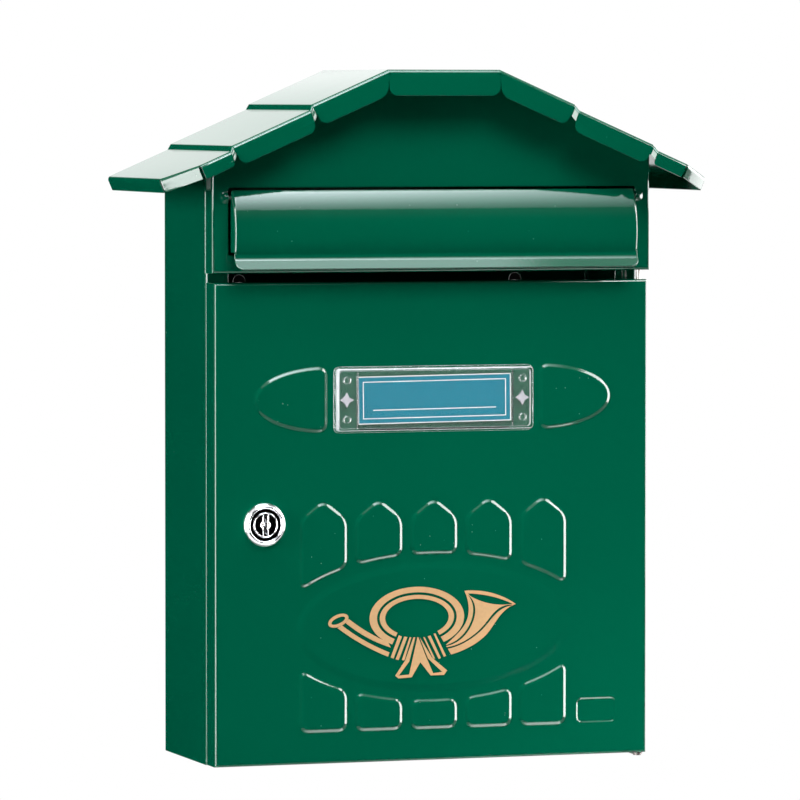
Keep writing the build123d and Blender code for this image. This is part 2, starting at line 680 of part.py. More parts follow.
def horn_sketch():
    """Outline of the printed post horn around the middle of its coil."""
    knot = polygon(HORN_KNOT)
    coil = [Ellipse(*outer) - Ellipse(*inner) for outer, inner in COIL_BANDS]
    bell_end = Line(BELL_BACK[-1], BELL_WALL[0])
    bell = make_face([Spline(*BELL_WALL), Spline(*BELL_RIM), Spline(*BELL_BACK), bell_end])
    horn = coil[0] + strip(*UPPER_TUBE) + bell - knot
    for first, second in (BELL_WALL_GAP, BELL_RIM_GAP, BELL_BACK_GAP):
        horn -= patch(first, second)
    horn += coil[1] - knot
    horn += strip(*LOWER_TUBE)
    mouth = Pos(MOUTH_X, MOUTH_Z) * Rot(0, 0, MOUTH_TILT)
    horn += mouth * Ellipse(*MOUTH_OUTER)
    horn -= mouth * Ellipse(*MOUTH_INNER)
    ribbon = polygon(RIBBON)
    for gap in RIBBON_GAPS:
        ribbon -= polygon(gap)
    horn += ribbon
    for bar in KNOT_BARS:
        horn += polygon(bar)
    return horn


def horn_emblem():
    """Post horn printed on the pressed oval."""
    horn = Pos(HORN_X, bottom + HORN_HEIGHT) * horn_sketch()
    return slab(horn, oval_front - HORN_THICKNESS, oval_front)


def lock_turned(points):
    """Solid turned about the lock's axis from its half section of radius and depth."""
    section = polygon([(radius, -depth) for radius, depth in points])
    return Pos(lock_x, 0, lock_z) * Rot(90, 0, 0) * revolve(Plane.XZ * section, Axis.Z)


def lock_housing():
    """Bezel and barrel of the lock."""
    bezel, dish = BEZEL_DIAMETER / 2, DISH_DIAMETER / 2
    bore, barrel = PLUG_DIAMETER / 2 + RUNNING_CLEAR, BARREL_DIAMETER / 2
    return lock_turned([
        (bore, front - DISH_FLOOR), (dish, front - DISH_FLOOR), (dish, front - BEZEL_OUT),
        (bezel - BEZEL_BEVEL, front - BEZEL_OUT), (bezel, front - BEZEL_EDGE), (bezel, front),
        (barrel, front), (barrel, barrel_end), (bore, barrel_end),
    ])


def lock_washer():
    """Washer between the door and the lock's nut."""
    ring = Circle(LOCK_WASHER_DIAMETER / 2) - Circle(BARREL_DIAMETER / 2 + FASTENER_CLEAR)
    return slab(Pos(lock_x, lock_z) * ring, door_inside, door_inside + LOCK_WASHER_THICKNESS)


def lock_nut():
    """Hexagon nut that clamps the lock to the door."""
    start = door_inside + LOCK_WASHER_THICKNESS
    hexagon = RegularPolygon(NUT_ACROSS_FLATS / 2, 6, major_radius=False)
    hexagon -= Circle(BARREL_DIAMETER / 2 + FASTENER_CLEAR)
    return slab(Pos(lock_x, lock_z) * hexagon, start, start + NUT_THICKNESS)


def lock_plug():
    """Plug with a raised rim, key bars and keyway in its face, and a square shank for the cam."""
    face = front - PLUG_OUT
    plug = rod(lock_x, lock_z, PLUG_DIAMETER / 2, face, barrel_end)
    dish = Circle(PLUG_DIAMETER / 2 - PLUG_RIM) - Rectangle(KEYWAY_WIDTH + 2 * KEY_BAR_WIDTH, PLUG_DIAMETER)
    dish -= Circle(KEY_BOSS_DIAMETER / 2)
    plug -= slab(Pos(lock_x, lock_z) * dish, face, face + PLUG_RIM_DEPTH)
    keyway = Rectangle(KEYWAY_WIDTH, KEYWAY_TALL)
    plug -= slab(Pos(lock_x, lock_z) * keyway, face, face + KEYWAY_DEPTH)
    shank = Pos(lock_x, lock_z) * Rectangle(SHANK_SQUARE, SHANK_SQUARE)
    shank_end = cam_front + CAM_THICKNESS
    plug += slab(shank, barrel_end, shank_end)
    screw_hole = CAM_SCREW_DIAMETER / 2 + RUNNING_CLEAR
    return plug - rod(lock_x, lock_z, screw_hole, shank_end - CAM_SCREW_LENGTH, shank_end)


def lock_cam():
    """Locking tongue on the plug's square shank, hanging down while unlocked."""
    tongue = Circle(CAM_WIDTH / 2)
    straight = cam_reach - CAM_WIDTH / 2
    tongue += Pos(0, -straight / 2) * Rectangle(CAM_WIDTH, straight)
    tongue += Pos(0, -straight) * Circle(CAM_WIDTH / 2)
    hole = SHANK_SQUARE + 2 * RUNNING_CLEAR
    tongue -= Rectangle(hole, hole)
    return slab(Pos(lock_x, lock_z) * tongue, cam_front, cam_front + CAM_THICKNESS)


def cam_washer():
    """Washer that keeps the cam on the shank."""
    ring = Circle(CAM_WASHER_DIAMETER / 2) - Circle(CAM_SCREW_DIAMETER / 2 + FASTENER_CLEAR)
    start = cam_front + CAM_THICKNESS
    return slab(Pos(lock_x, lock_z) * ring, start, start + CAM_WASHER_THICKNESS)


def cam_screw():
    """Slotted screw in the end of the plug."""
    head = cam_front + CAM_THICKNESS + CAM_WASHER_THICKNESS
    head_end = head + CAM_SCREW_HEAD_THICKNESS
    shank_start = cam_front + CAM_THICKNESS - CAM_SCREW_LENGTH + SEAT_GAP
    screw = rod(lock_x, lock_z, CAM_SCREW_DIAMETER / 2, shank_start, head)
    screw += rod(lock_x, lock_z, CAM_SCREW_HEAD_DIAMETER / 2, head, head_end)
    slot = Pos(lock_x, lock_z) * Rectangle(CAM_SCREW_HEAD_DIAMETER, CAM_SCREW_SLOT_WIDTH)
    return screw - slab(slot, head_end - CAM_SCREW_SLOT_DEPTH, head_end)


PIECES = (
    body_shell, floor_tray, fascia, flap_rod, flap, roof, door,
    upper_hinge_pin, lower_hinge_pin, lower_hinge_bracket,
    name_base, name_window, name_card, name_rivet_left, name_rivet_right, horn_emblem,
    lock_housing, lock_washer, lock_nut, lock_plug, lock_cam, cam_washer, cam_screw,
)

os.makedirs("parts", exist_ok=True)
for piece in PIECES:
    export_step(piece(), f"parts/{piece.__name__}.step")
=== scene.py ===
"""Wall-mounted sheet-steel mailbox with a pressed door, a letter flap and a stepped roof."""

import math

import bmesh
import bpy
from bpy.props import FloatProperty, FloatVectorProperty, IntProperty, PointerProperty
from mathutils import Matrix, Vector, geometry


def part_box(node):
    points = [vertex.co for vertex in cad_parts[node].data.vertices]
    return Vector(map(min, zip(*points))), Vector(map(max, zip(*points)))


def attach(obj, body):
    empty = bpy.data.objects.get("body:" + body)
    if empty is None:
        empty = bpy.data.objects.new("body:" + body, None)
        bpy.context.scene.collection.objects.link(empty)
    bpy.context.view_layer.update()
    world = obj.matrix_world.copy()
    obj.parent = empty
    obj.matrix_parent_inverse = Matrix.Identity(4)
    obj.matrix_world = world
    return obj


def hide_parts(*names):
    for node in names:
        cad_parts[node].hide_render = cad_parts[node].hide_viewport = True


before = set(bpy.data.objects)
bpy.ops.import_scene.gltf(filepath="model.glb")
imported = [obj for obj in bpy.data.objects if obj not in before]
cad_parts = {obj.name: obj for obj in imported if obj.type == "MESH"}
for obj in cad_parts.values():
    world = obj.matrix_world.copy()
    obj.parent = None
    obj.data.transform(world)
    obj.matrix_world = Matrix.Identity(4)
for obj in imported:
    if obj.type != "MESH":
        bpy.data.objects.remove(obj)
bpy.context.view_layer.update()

bl_info = {
    "name": "Wall Mailbox",
    "version": (1, 0, 0),
    "blender": (4, 5, 0),
    "location": "View3D > Sidebar > Mailbox",
    "description": "Dresses the packed mailbox with folded sheet, pressed panels and finishes",
    "category": "Object",
}

MM = 0.001

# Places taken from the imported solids, in metres
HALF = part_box("body_shell")[1].x
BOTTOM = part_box("body_shell")[0].z
DOOR_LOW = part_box("door")[0]
DOOR_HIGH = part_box("door")[1]
NAME_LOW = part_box("name_window")[0]
NAME_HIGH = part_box("name_window")[1]
FRONT = NAME_HIGH.y
FASCIA_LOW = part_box("fascia")[0]
FASCIA_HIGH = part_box("fascia")[1]
FLAP_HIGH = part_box("flap")[1]
ROOF_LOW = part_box("roof")[0]
ROOF_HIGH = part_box("roof")[1]
ROD_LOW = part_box("flap_rod")[0]
ROD_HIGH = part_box("flap_rod")[1]
LOCK_MIDDLE = (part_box("lock_plug")[0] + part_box("lock_plug")[1]) / 2
CARD_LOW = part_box("name_card")[0]
CARD_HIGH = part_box("name_card")[1]

# Wall holes
HOLE_X = 75 * MM
HOLE_Z = 90 * MM
HOLE_RADIUS = 3.25 * MM
HOLE_COLLAR = 2.5 * HOLE_RADIUS
HOLE_POINTS = 32

# Folds: steps of a quarter turn, as the door, the roof's flanges and the body have it
FOLD_STEPS = 6
FLANGE_STEPS = 5
BODY_STEPS = 7

# Body
JAMB_FRONT = FRONT + 15.43 * MM
JAMB_WIDTH = 12 * MM
SIDE_STEP = FASCIA_LOW.z + 1.0 * MM
SIDE_FRONT = FRONT + 1.0 * MM
GABLE_DROP = 1.2 * MM

# Upper front panel. Its flanges flare at their rear edge: distance from it and roll, in mm
FASCIA_DEPTH = 10.5 * MM
FASCIA_FLARE = ((0.6, 0.0), (0.3, 0.16), (0.0, 0.5))
FASCIA_EDGE = 0.1 * MM

# Letter slot and flap
SLOT_HALF = 107.9 * MM
SLOT_LOW = FASCIA_LOW.z + 9.0 * MM
SLOT_HIGH = SLOT_LOW + 33.7 * MM
SLOT_CORNER = 0.8 * MM
SLOT_POINTS = 4
FLAP_TOP_OUT = 2.0 * MM
FLAP_BULGE = 8.3 * MM
FLAP_BULGE_DROP = 20.0 * MM
FLAP_FOLD_OUT = 6.7 * MM
FLAP_FOLD_Z = SLOT_LOW - 0.8 * MM
FLAP_LIP_OUT = 10.7 * MM
FLAP_LIP_Z = SLOT_LOW - 6.8 * MM
FLAP_STOP = 0.4 * MM
FLAP_FOLD_REACH = 2.1 * MM
FLAP_END = 1.4 * MM
FLAP_END_STEPS = 6
FLAP_COLUMNS = 6
FLAP_ARC_STEPS = 28
FLAP_FOLD_STEPS = 8
FLAP_LIP_STEPS = 10

# Pressed pockets over the ends of the flap's rod
POCKET_START = SLOT_HALF + 0.1 * MM
POCKET_RISE = 1.3 * MM
POCKET_WIDE = 4.6 * MM
POCKET_TALL = 3.4 * MM
POCKET_SINK = 0.03 * MM
POCKET_FOOT = 0.3 * MM
POCKET_STEPS = 14

# Roof section, from the ridge to the eave
RIDGE_HALF = 29.5 * MM
PITCH = math.radians(23.5)
PANEL_RUN = 40.0 * MM
STEP_OUT = 1.7 * MM
STEP_DROP = 2.9 * MM
EAVE_HALF = ROOF_HIGH.x
RIDGE_TOP = ROOF_HIGH.z
ROOF_FRONT = ROOF_LOW.y
CORNER_CUT = 16.0 * MM
RIDGE_TAB = 13.0 * MM
PANEL_TABS = (11.7 * MM, 10.8 * MM, 7.5 * MM)
CORNER_TAB = 7.0 * MM
EAVE_TAB = 7.2 * MM
TAB_SLIT = 0.2 * MM
TAB_STEPS = 8
STEP_STRIPS = (6.0 * MM, 5.2 * MM)
STEP_ROUNDS = (1.3 * MM, 0.8 * MM, 1.3 * MM, 0.8 * MM)
STEP_ROUND_STEPS = 5

# Largest corner of a roof flange, as a share of its edge and of its depth
TAB_CORNER_LENGTH = 0.45
TAB_CORNER_DEPTH = 0.9

# Kinds of corners of the roof's flanges, as shares of the largest one
ROUND = 1.0
SMALL = 0.45
SQUARE = 0.12

# Where a step's strip leaves the upper flange, and its share that leads to the lower one
JOGGLE_START = 0.29
JOGGLE_SPAN = 0.42

# Pressed pattern of the door
FENCE_PITCH = 29.2 * MM
PICKETS = 5
PICKET_HALF = 11.8 * MM
PICKET_PEAK = BOTTOM + 132.2 * MM
PICKET_SHOULDER = BOTTOM + 123.0 * MM
PICKET_FOOT = BOTTOM + 17.0 * MM
PICKET_STEPS = 12
CLEARING = (84.0 * MM, 37.4 * MM)
OVAL = (71.0 * MM, 31.0 * MM)
OVAL_Z = BOTTOM + 68.0 * MM
LEAF = (37.3 * MM, 15.8 * MM)
LEAF_START = 57.0 * MM
LEAF_Z = BOTTOM + 183.2 * MM
LEAF_POINTS = 48
BADGE_MIDDLE = (87.55 * MM, BOTTOM + 23.0 * MM)
BADGE_SIZE = (20.7 * MM, 12.0 * MM)
BADGE_CORNER = 2.5 * MM
BADGE_POINTS = 8
LOCK_HOLE = 9.2 * MM
DOOR_HOLE_POINTS = 40
PRESS_SPACING = 0.6 * MM
PRESS_STEPS = 7
OVAL_POINTS = 160
OVAL_STEPS = 9
BADGE_SPACING = 0.5 * MM
BADGE_SOFTNESS = 0.6 * MM
BADGE_SLOPE = 1.6 * MM
BADGE_STEPS = 6

# Name holder
NAME_Z = (NAME_LOW.z + NAME_HIGH.z) / 2
NAME_HALF = NAME_HIGH.x
NAME_TALL = NAME_HIGH.z - NAME_LOW.z
NAME_WALL = 1.2 * MM
NAME_CORNER = 3.0 * MM
NAME_BASE = 1.0 * MM
POST_X = 46.6 * MM
POST_Z = 9.8 * MM
POST_RADIUS = 2.0 * MM
POST_WALL = 0.65 * MM
POST_POINTS = 32
POST_CLEARANCE = 0.1 * MM
POST_TALL = 2.0 * MM
RIVET_HOLE = 2.1 * MM
RIVET_EDGE = 0.25 * MM
COVER_ROUND = 0.9 * MM
COVER_ROUND_STEPS = 6
COVER_FOOT = 1.0 * MM
COVER_POINTS = 9
# Share of the front a face of the name cover must face to stay clear; the others take the painted
# highlight
COVER_FACING = 0.8
CLEAR_EDGE = 0.15 * MM
RIB_HALF = 0.3 * MM
RIB_GAP = 0.5 * MM
RIB_SHORT = 0.2 * MM
RIB_EDGE = 0.12 * MM

# Rounded foot of the name cover: how far in and how far out, as shares of the foot
COVER_FOOT_LINE = ((0.0, 0.55), (0.12, 0.85), (0.4, 1.0), (0.75, 1.0), (0.95, 1.15))

# Name card
CARD_HALF_X = (CARD_HIGH.x - CARD_LOW.x) / 2
CARD_HALF_Z = (CARD_HIGH.z - CARD_LOW.z) / 2
CARD_CORNER = 0.4 * MM
CARD_POINTS = 4
CARD_EDGE = 0.05 * MM
CARD_TILT = math.radians(0.6)

# Lock's bezel, from its rear edge over the crown into the dish: radius and height in mm
BEZEL = (
    (9.0, None), (9.0, 0.0), (11.0, 0.0), (11.0, 0.5), (10.9, 1.0), (10.65, 1.5), (10.3, 2.0),
    (9.95, 2.4), (9.6, 2.7), (9.25, 2.9), (8.9, 3.0), (8.6, 2.95), (8.42, 2.75), (8.32, 2.4),
    (8.25, 1.6), (6.3, 1.5), (6.3, None),
)
BEZEL_POINTS = 72
BEZEL_EDGE = 0.12 * MM

# Lock's plug, with a rim, two bars and a boss in two halves
PLUG_FLOOR = FRONT - 1.75 * MM
PLUG_RIM = 5.95 * MM
PLUG_RIM_WIRE = 0.2 * MM
PLUG_RIM_RISE = 0.45 * MM
PLUG_RIM_STEPS = 8
PLUG_POINTS = 64
PLUG_EDGE = 0.06 * MM
KEYWAY_HALF_X = 0.95 * MM
KEYWAY_HALF_Z = 4.6 * MM
KEYWAY_END = FRONT + 6.0 * MM
BAR_X = 1.35 * MM
BAR_WIRE = 0.24 * MM
BAR_RISE = 0.35 * MM
BAR_REACH = 5.7 * MM
BAR_STEPS = 10
BOSS_RADIUS = 2.6 * MM
BOSS_RISE = 0.75 * MM
BOSS_ROWS = 5
BOSS_STEPS = 18
BOSS_SINK = 0.1 * MM

# Keyway between the halves of the boss: its wave from foot to top, the wave's depth in mm, and
# how far the right and the left half are cut back where the wave starts, in mm
WAVE = (0.5, 0.35, 0.75, 1.0, 0.75, 0.35, 0.5)
WAVE_DEPTH = 0.6
WAVE_RIGHT = 0.45
WAVE_LEFT = 1.5

# Metals: colour, roughness, scale of the grain and its relief
METALS = {
    "chrome_plate": ((0.86, 0.86, 0.88), 0.09, 600.0, 0.1),
    "chrome_satin": ((0.84, 0.83, 0.82), 0.22, 600.0, 0.1),
    "zinc_plate": ((0.5, 0.47, 0.45), 0.5, 240.0, 0.3),
    # Zinc darker than plain zinc plate, for the lower hinge
    "dark_zinc": ((0.15, 0.133, 0.128), 0.6, 240.0, 0.3),
    "dark_wire": ((0.1, 0.1, 0.09), 0.5, 240.0, 0.3),
}

# Heights of the fine reliefs in the finishes
FINE_RELIEF = 0.03 * MM
PRINT_RELIEF = 0.02 * MM
STAR_RELIEF = 0.1 * MM
CLEAR_IOR = 1.49

# Stage. A lamp that fades has its strength at both sides, and at its foot and top
STAGE_MIDDLE = (0.0, FRONT, 0.02)
LAMP_DISTANCE = 1.6
EVEN = (1.0, 1.0)
FLAT = (EVEN, EVEN)
SKY_TINT = (0.84, 0.95, 1.0)
FLOOR_REACH = 1.5
FLOOR_DROP = 0.8
FLOOR_POINTS = 96
FLOOR_FADE = (0.96, 1.7)
# Card of painted shade behind the wall holes: its distance behind the box and its margin
FLAG_BEHIND = 3.5
FLAG_MARGIN = 4 * HOLE_RADIUS
BACKDROP_DIM = 0.12

# Camera of the photograph
CAMERA_PLACE = (-0.98113, -2.95667, 0.18547)
CAMERA_AIM = (0.31806, 0.94673, -0.05053)
CAMERA_ROLL = math.radians(0.026)
CAMERA_LENS = 271.56
CAMERA_SENSOR = 36.0
CAMERA_REACH = 50.0


class MailboxShape(bpy.types.PropertyGroup):
    """Sizes of the dressed pieces."""

    sheet: FloatProperty(
        name="Sheet", description="Thickness of the painted steel sheet",
        default=0.8 * MM, unit="LENGTH", precision=4)
    fold: FloatProperty(
        name="Fold Radius",
        description="Outer radius of the folds of the door, body and upper panel",
        default=2.0 * MM, unit="LENGTH", precision=4)
    roof_fold: FloatProperty(
        name="Roof Fold Radius", description="Outer radius of the folds of the roof's flanges",
        default=2.0 * MM, unit="LENGTH", precision=4)
    edge: FloatProperty(
        name="Edge Rounding", description="Paint rounding of the cut edges of the sheet",
        default=0.36 * MM, unit="LENGTH", precision=4)
    press_height: FloatProperty(
        name="Press Height", description="How far the pressed panels of the door stand out",
        default=1.0 * MM, unit="LENGTH", precision=4)
    press_width: FloatProperty(
        name="Press Slope", description="Width of the sloping edge of the pressed panels",
        default=2.8 * MM, unit="LENGTH", precision=4)
    oval_height: FloatProperty(
        name="Oval Height", description="How far the oval field stands out",
        default=0.6 * MM, unit="LENGTH", precision=4)
    oval_width: FloatProperty(
        name="Oval Slope", description="Width of the sloping edge of the oval field",
        default=5.0 * MM, unit="LENGTH", precision=4)
    badge_depth: FloatProperty(
        name="Badge Depth",
        description="How far the small plate at the foot of the door is pressed in",
        default=0.6 * MM, unit="LENGTH", precision=4)
    press_corner: FloatProperty(
        name="Press Corner", description="Rounding of the corners of the pressed panels",
        default=4.2 * MM, unit="LENGTH", precision=4)
    tab_corner: FloatProperty(
        name="Tab Corner", description="Radius of the lower corners of the roof's flanges",
        default=4.5 * MM, unit="LENGTH", precision=4)
    tab_proud: FloatProperty(
        name="Tab Stagger",
        description="How far each lower flange stands in front of the one above",
        default=1.6 * MM, unit="LENGTH", precision=4)
    lip_corner: FloatProperty(
        name="Lip Corner", description="Radius of the lower corners of the letter flap",
        default=4.5 * MM, unit="LENGTH", precision=4)
    holder_posts: IntProperty(
        name="Holder Posts", description="Posts in each end pocket of the name holder",
        default=2, min=1)


class MailboxLook(bpy.types.PropertyGroup):
    """Colours and gloss of the finishes."""

    paint: FloatVectorProperty(
        name="Paint", description="Colour of the gloss paint",
        subtype="COLOR", size=3, min=0, max=1, default=(0.0, 0.086, 0.044))
    gold: FloatVectorProperty(
        name="Horn Print", description="Colour of the printed post horn",
        subtype="COLOR", size=3, min=0, max=1, default=(0.58, 0.36, 0.175))
    card: FloatVectorProperty(
        name="Name Card", description="Colour of the blank name card",
        subtype="COLOR", size=3, min=0, max=1, default=(0.0, 0.2, 0.29))
    paint_roughness: FloatProperty(
        name="Paint Roughness", description="Roughness of the gloss paint",
        subtype="FACTOR", min=0, max=1, default=0.07)


def shape():
    """Sizes set in the sidebar."""
    return bpy.context.scene.mailbox_shape


def look():
    """Colours set in the sidebar."""
    return bpy.context.scene.mailbox_look


# Outlines in X and Z


def sides(outline):
    """Pairs of neighbouring points of a closed outline."""
    return list(zip(outline, outline[1:] + outline[:1]))


def area(outline):
    """Signed area of a closed outline."""
    return sum(a[0] * b[1] - b[0] * a[1] for a, b in sides(outline)) / 2


def at_depth(outline, y):
    """Points of an outline at a depth."""
    return [(x, y, z) for x, z in outline]


def eased(steps):
    """Sine and what the cosine lacks of one, at the steps of a quarter turn."""
    angles = [math.pi / 2 * i / steps for i in range(steps + 1)]
    return [(math.sin(angle), 1 - math.cos(angle)) for angle in angles]


def ellipse(middle, radii, count, start=0.0, end=2 * math.pi):
    """Points of an ellipse, without the last one when it is whole."""
    whole = abs(end - start - 2 * math.pi) < 1e-9
    steps = count if whole else count - 1
    angles = [start + (end - start) * i / steps for i in range(count)]
    x, z = middle
    return [(x + radii[0] * math.cos(a), z + radii[1] * math.sin(a)) for a in angles]


def rounded_box(middle, size, corner, count):
    """Outline of a rectangle with round corners."""
    points = []
    for turn, (sx, sz) in enumerate(((1, 1), (-1, 1), (-1, -1), (1, -1))):
        x = middle[0] + sx * (size[0] / 2 - corner)
        z = middle[1] + sz * (size[1] / 2 - corner)
        start = turn * math.pi / 2
        points += ellipse((x, z), (corner, corner), count, start, start + math.pi / 2)
    return points


def softened(outline, spacing, reach):
    """Closed outline drawn again at an even spacing, with its corners rounded by averaging."""
    pairs = sides(outline)
    lengths = [math.dist(a, b) for a, b in pairs]
    total = sum(lengths)
    count = max(12, round(total / spacing))
    points, index, walked = [], 0, 0.0
    for i in range(count):
        target = total * i / count
        while walked + lengths[index] < target:
            walked += lengths[index]
            index += 1
        (x0, z0), (x1, z1) = pairs[index]
        share = (target - walked) / lengths[index]
        points.append((x0 + (x1 - x0) * share, z0 + (z1 - z0) * share))
    span = max(1, round(reach / (total / count)))
    window = range(-span, span + 1)
    return [
        tuple(sum(points[(i + k) % count][axis] for k in window) / len(window) for axis in (0, 1))
        for i in range(count)
    ]


def grown(outline, distances):
    """Closed outline moved outwards by one distance, or by one for each point."""
    turn = 1 if area(outline) > 0 else -1
    if not isinstance(distances, list):
        distances = [distances] * len(outline)
    moved = []
    befores, afters = outline[-1:] + outline[:-1], outline[1:] + outline[:1]
    for before, (x, z), after, distance in zip(befores, outline, afters, distances):
        dx, dz = after[0] - before[0], after[1] - before[1]
        length = math.hypot(dx, dz)
        moved.append((x + turn * distance * dz / length, z - turn * distance * dx / length))
    return moved


def filleted(line, radii, steps):
    """Open line whose inner corners are rounded with the given radii."""
    points = [line[0]]
    for before, corner, after, radius in zip(line, line[1:], line[2:], radii):
        back = (Vector(before) - Vector(corner)).normalized()
        on = (Vector(after) - Vector(corner)).normalized()
        half = math.acos(max(-1.0, min(1.0, back.dot(on)))) / 2
        if radius <= 0 or abs(half - math.pi / 2) < 1e-6:
            points.append(corner)
            continue
        centre = Vector(corner) + (back + on).normalized() * (radius / math.sin(half))
        start = Vector(corner) + back * (radius / math.tan(half)) - centre
        end = Vector(corner) + on * (radius / math.tan(half)) - centre
        sweep = start.angle_signed(end)
        for i in range(steps + 1):
            turned = start.copy()
            turned.rotate(Matrix.Rotation(-sweep * i / steps, 2))
            points.append(tuple(centre + turned))
    points.append(line[-1])
    return points


# Meshes


def row(bm, points):
    """Vertices at a list of points."""
    return [bm.verts.new(p) for p in points]


def bridge(bm, first, second, closed=False):
    """Quads between two rows of as many vertices."""
    count = len(first)
    for i in range(count if closed else count - 1):
        j = (i + 1) % count
        bm.faces.new((first[i], first[j], second[j], second[i]))


def grid(bm, rows, closed=False):
    """Quads between successive rows of points, which may be vertices already."""
    made = [r if isinstance(r[0], bmesh.types.BMVert) else row(bm, r) for r in rows]
    for first, second in zip(made, made[1:]):
        bridge(bm, first, second, closed)
    return made


def inside(point, outline):
    """Whether a point lies within a closed outline."""
    x, z = point
    crossings = 0
    for (x0, z0), (x1, z1) in sides(outline):
        if (z0 > z) != (z1 > z) and x < x0 + (x1 - x0) * (z - z0) / (z1 - z0):
            crossings += 1
    return crossings % 2 == 1


def flat_fill(bm, outer, holes):
    """Triangles that fill a flat outline in X and Z around its holes."""
    rings = [outer] + holes
    outlines = [[(v.co.x, v.co.z) for v in ring] for ring in rings]
    verts = [v for ring in rings for v in ring]
    owners = [index for index, ring in enumerate(rings) for _ in ring]
    edges, start = [], 0
    for ring in rings:
        count = len(ring)
        edges += [(start + i, start + (i + 1) % count) for i in range(count)]
        start += count
    points = [Vector(p) for outline in outlines for p in outline]
    _, _, faces, originals, _, _ = geometry.delaunay_2d_cdt(points, edges, [], 1, 1e-9)
    for face in faces:
        picked = [originals[i][0] for i in face]
        owner = owners[picked[0]]
        if owner > 0 and all(owners[i] == owner for i in picked):
            middle = sum((points[i] for i in picked), Vector((0, 0))) / len(picked)
            if inside(middle, outlines[owner]):
                continue
        bm.faces.new([verts[i] for i in picked])


def inset_limits(outline):
    """How far each point may move inwards before its neighbours meet, evened out."""
    count = len(outline)
    turn = 1 if area(outline) > 0 else -1
    apart, reach, share, farthest = 3, 6, 0.8, 0.05
    limits = []
    for i in range(count):
        a, b, c = (Vector(outline[(i + k) % count]) for k in (-apart, 0, apart))
        bend = turn * (b - a).angle_signed(c - b, 0.0) * -1
        length = ((b - a).length + (c - b).length) / 2
        limits.append(share * length / bend if bend > 1e-4 else 1.0)
    span = range(-reach, reach + 1)
    lowest = [min(limits[(i + k) % count] for k in span) for i in range(count)]
    return [
        sum(min(lowest[(i + k) % count], farthest) for k in span) / len(span)
        for i in range(count)
    ]


def pressed(bm, outline, width, height, steps):
    """Panel pressed out of the front sheet, with a smooth sloping edge. Returns its foot."""
    rows = []
    limits = inset_limits(outline)
    for i in range(steps + 1):
        t = i / steps
        ring = grown(outline, [max(width * (0.5 - t), -limit) for limit in limits])
        rise = height * t * t * (3 - 2 * t)
        rows.append(at_depth(ring, FRONT - rise))
    made = grid(bm, rows, closed=True)
    bm.faces.new(made[-1])
    return made[0]


def turned_section(bm, middle, section, count):
    """Surface turned about an axis along Y from points of radius and depth."""
    rows = [at_depth(ellipse(middle, (radius, radius), count), y) for radius, y in section]
    return grid(bm, rows, closed=True)


def close_up(bm):
    """Merges doubled points and turns a closed shape's faces outwards."""
    bmesh.ops.remove_doubles(bm, verts=bm.verts, dist=1e-6)
    bmesh.ops.recalc_face_normals(bm, faces=bm.faces)


def face_out(bm, outward):
    """Merges doubled points and turns an open sheet's faces towards a direction on the whole."""
    close_up(bm)
    total = sum((f.normal * f.calc_area() for f in bm.faces), Vector())
    if total.dot(Vector(outward)) < 0:
        bmesh.ops.reverse_faces(bm, faces=bm.faces)


def piece(name, bm, material, body, nodes):
    """Object from a mesh, with smooth faces, that rides on a body and stands for solids."""
    stray = [e for e in bm.edges if not e.link_faces]
    bmesh.ops.delete(bm, geom=stray, context="EDGES")
    mesh = bpy.data.meshes.new(name)
    bm.to_mesh(mesh)
    bm.free()
    mesh.shade_smooth()
    mesh.materials.append(material)
    obj = bpy.data.objects.new(name, mesh)
    bpy.context.scene.collection.objects.link(obj)
    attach(obj, body)
    if nodes:
        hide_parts(*nodes)
    return obj


def see_through(obj):
    """Lets lamp light and scattered light pass a clear piece unbent."""
    obj.visible_shadow = False
    obj.visible_diffuse = False


def copied(node, name, material, body, width):
    """Piece made from a solid's own shape, with its sharp edges rounded."""
    bm = bmesh.new()
    bm.from_mesh(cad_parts[node].data)
    bmesh.ops.remove_doubles(bm, verts=bm.verts, dist=1e-6)
    flat = math.radians(1)
    bmesh.ops.dissolve_limit(bm, angle_limit=flat, verts=bm.verts, edges=bm.edges)
    obj = piece(name, bm, material, body, [node])
    solid_finish(obj, width, segments=3, angle=35)
    return obj


def round_edges(obj, width, segments, angle):
    """Rounds edges that are sharper than an angle. Returns the modifier."""
    bevel = obj.modifiers.new("Edges", "BEVEL")
    bevel.limit_method = "ANGLE"
    bevel.angle_limit = math.radians(angle)
    bevel.width = width
    bevel.segments = segments
    return bevel


def weigh_normals(obj):
    """Keeps large flat faces flat beside small rounded ones."""
    weigh = obj.modifiers.new("Flat faces", "WEIGHTED_NORMAL")
    weigh.mode = "FACE_AREA"
    weigh.weight = 80


def sheet_finish(obj, edge=None):
    """Gives an open surface the sheet's thickness and, unless edge is 0, paint-rounded edges."""
    sizes = shape()
    width = sizes.edge if edge is None else edge
    solid = obj.modifiers.new("Sheet", "SOLIDIFY")
    solid.thickness = sizes.sheet
    solid.offset = -1
    if width > 0:
        round_edges(obj, width, 3, 60).use_clamp_overlap = False
    weigh_normals(obj)


def solid_finish(obj, width, segments=2, angle=40):
    """Rounds the sharp edges of a closed shape."""
    round_edges(obj, width, segments, angle)
    weigh_normals(obj)


# Materials


def group_tree(name, inputs, outputs):
    """New shader node group with its input and output nodes."""
    tree = bpy.data.node_groups.new(name, "ShaderNodeTree")
    for label, kind, default in inputs:
        socket = tree.interface.new_socket(label, in_out="INPUT", socket_type=kind)
        socket.default_value = default
    for label, kind in outputs:
        tree.interface.new_socket(label, in_out="OUTPUT", socket_type=kind)
    return tree, tree.nodes.new("NodeGroupInput"), tree.nodes.new("NodeGroupOutput")


def feed(tree, socket, value):
    """Links a socket to another one, or sets its number or colour."""
    if isinstance(value, bpy.types.NodeSocket):
        tree.links.new(value, socket)
    elif isinstance(value, (int, float)):
        socket.default_value = value
    else:
        socket.default_value = (*value, 1)


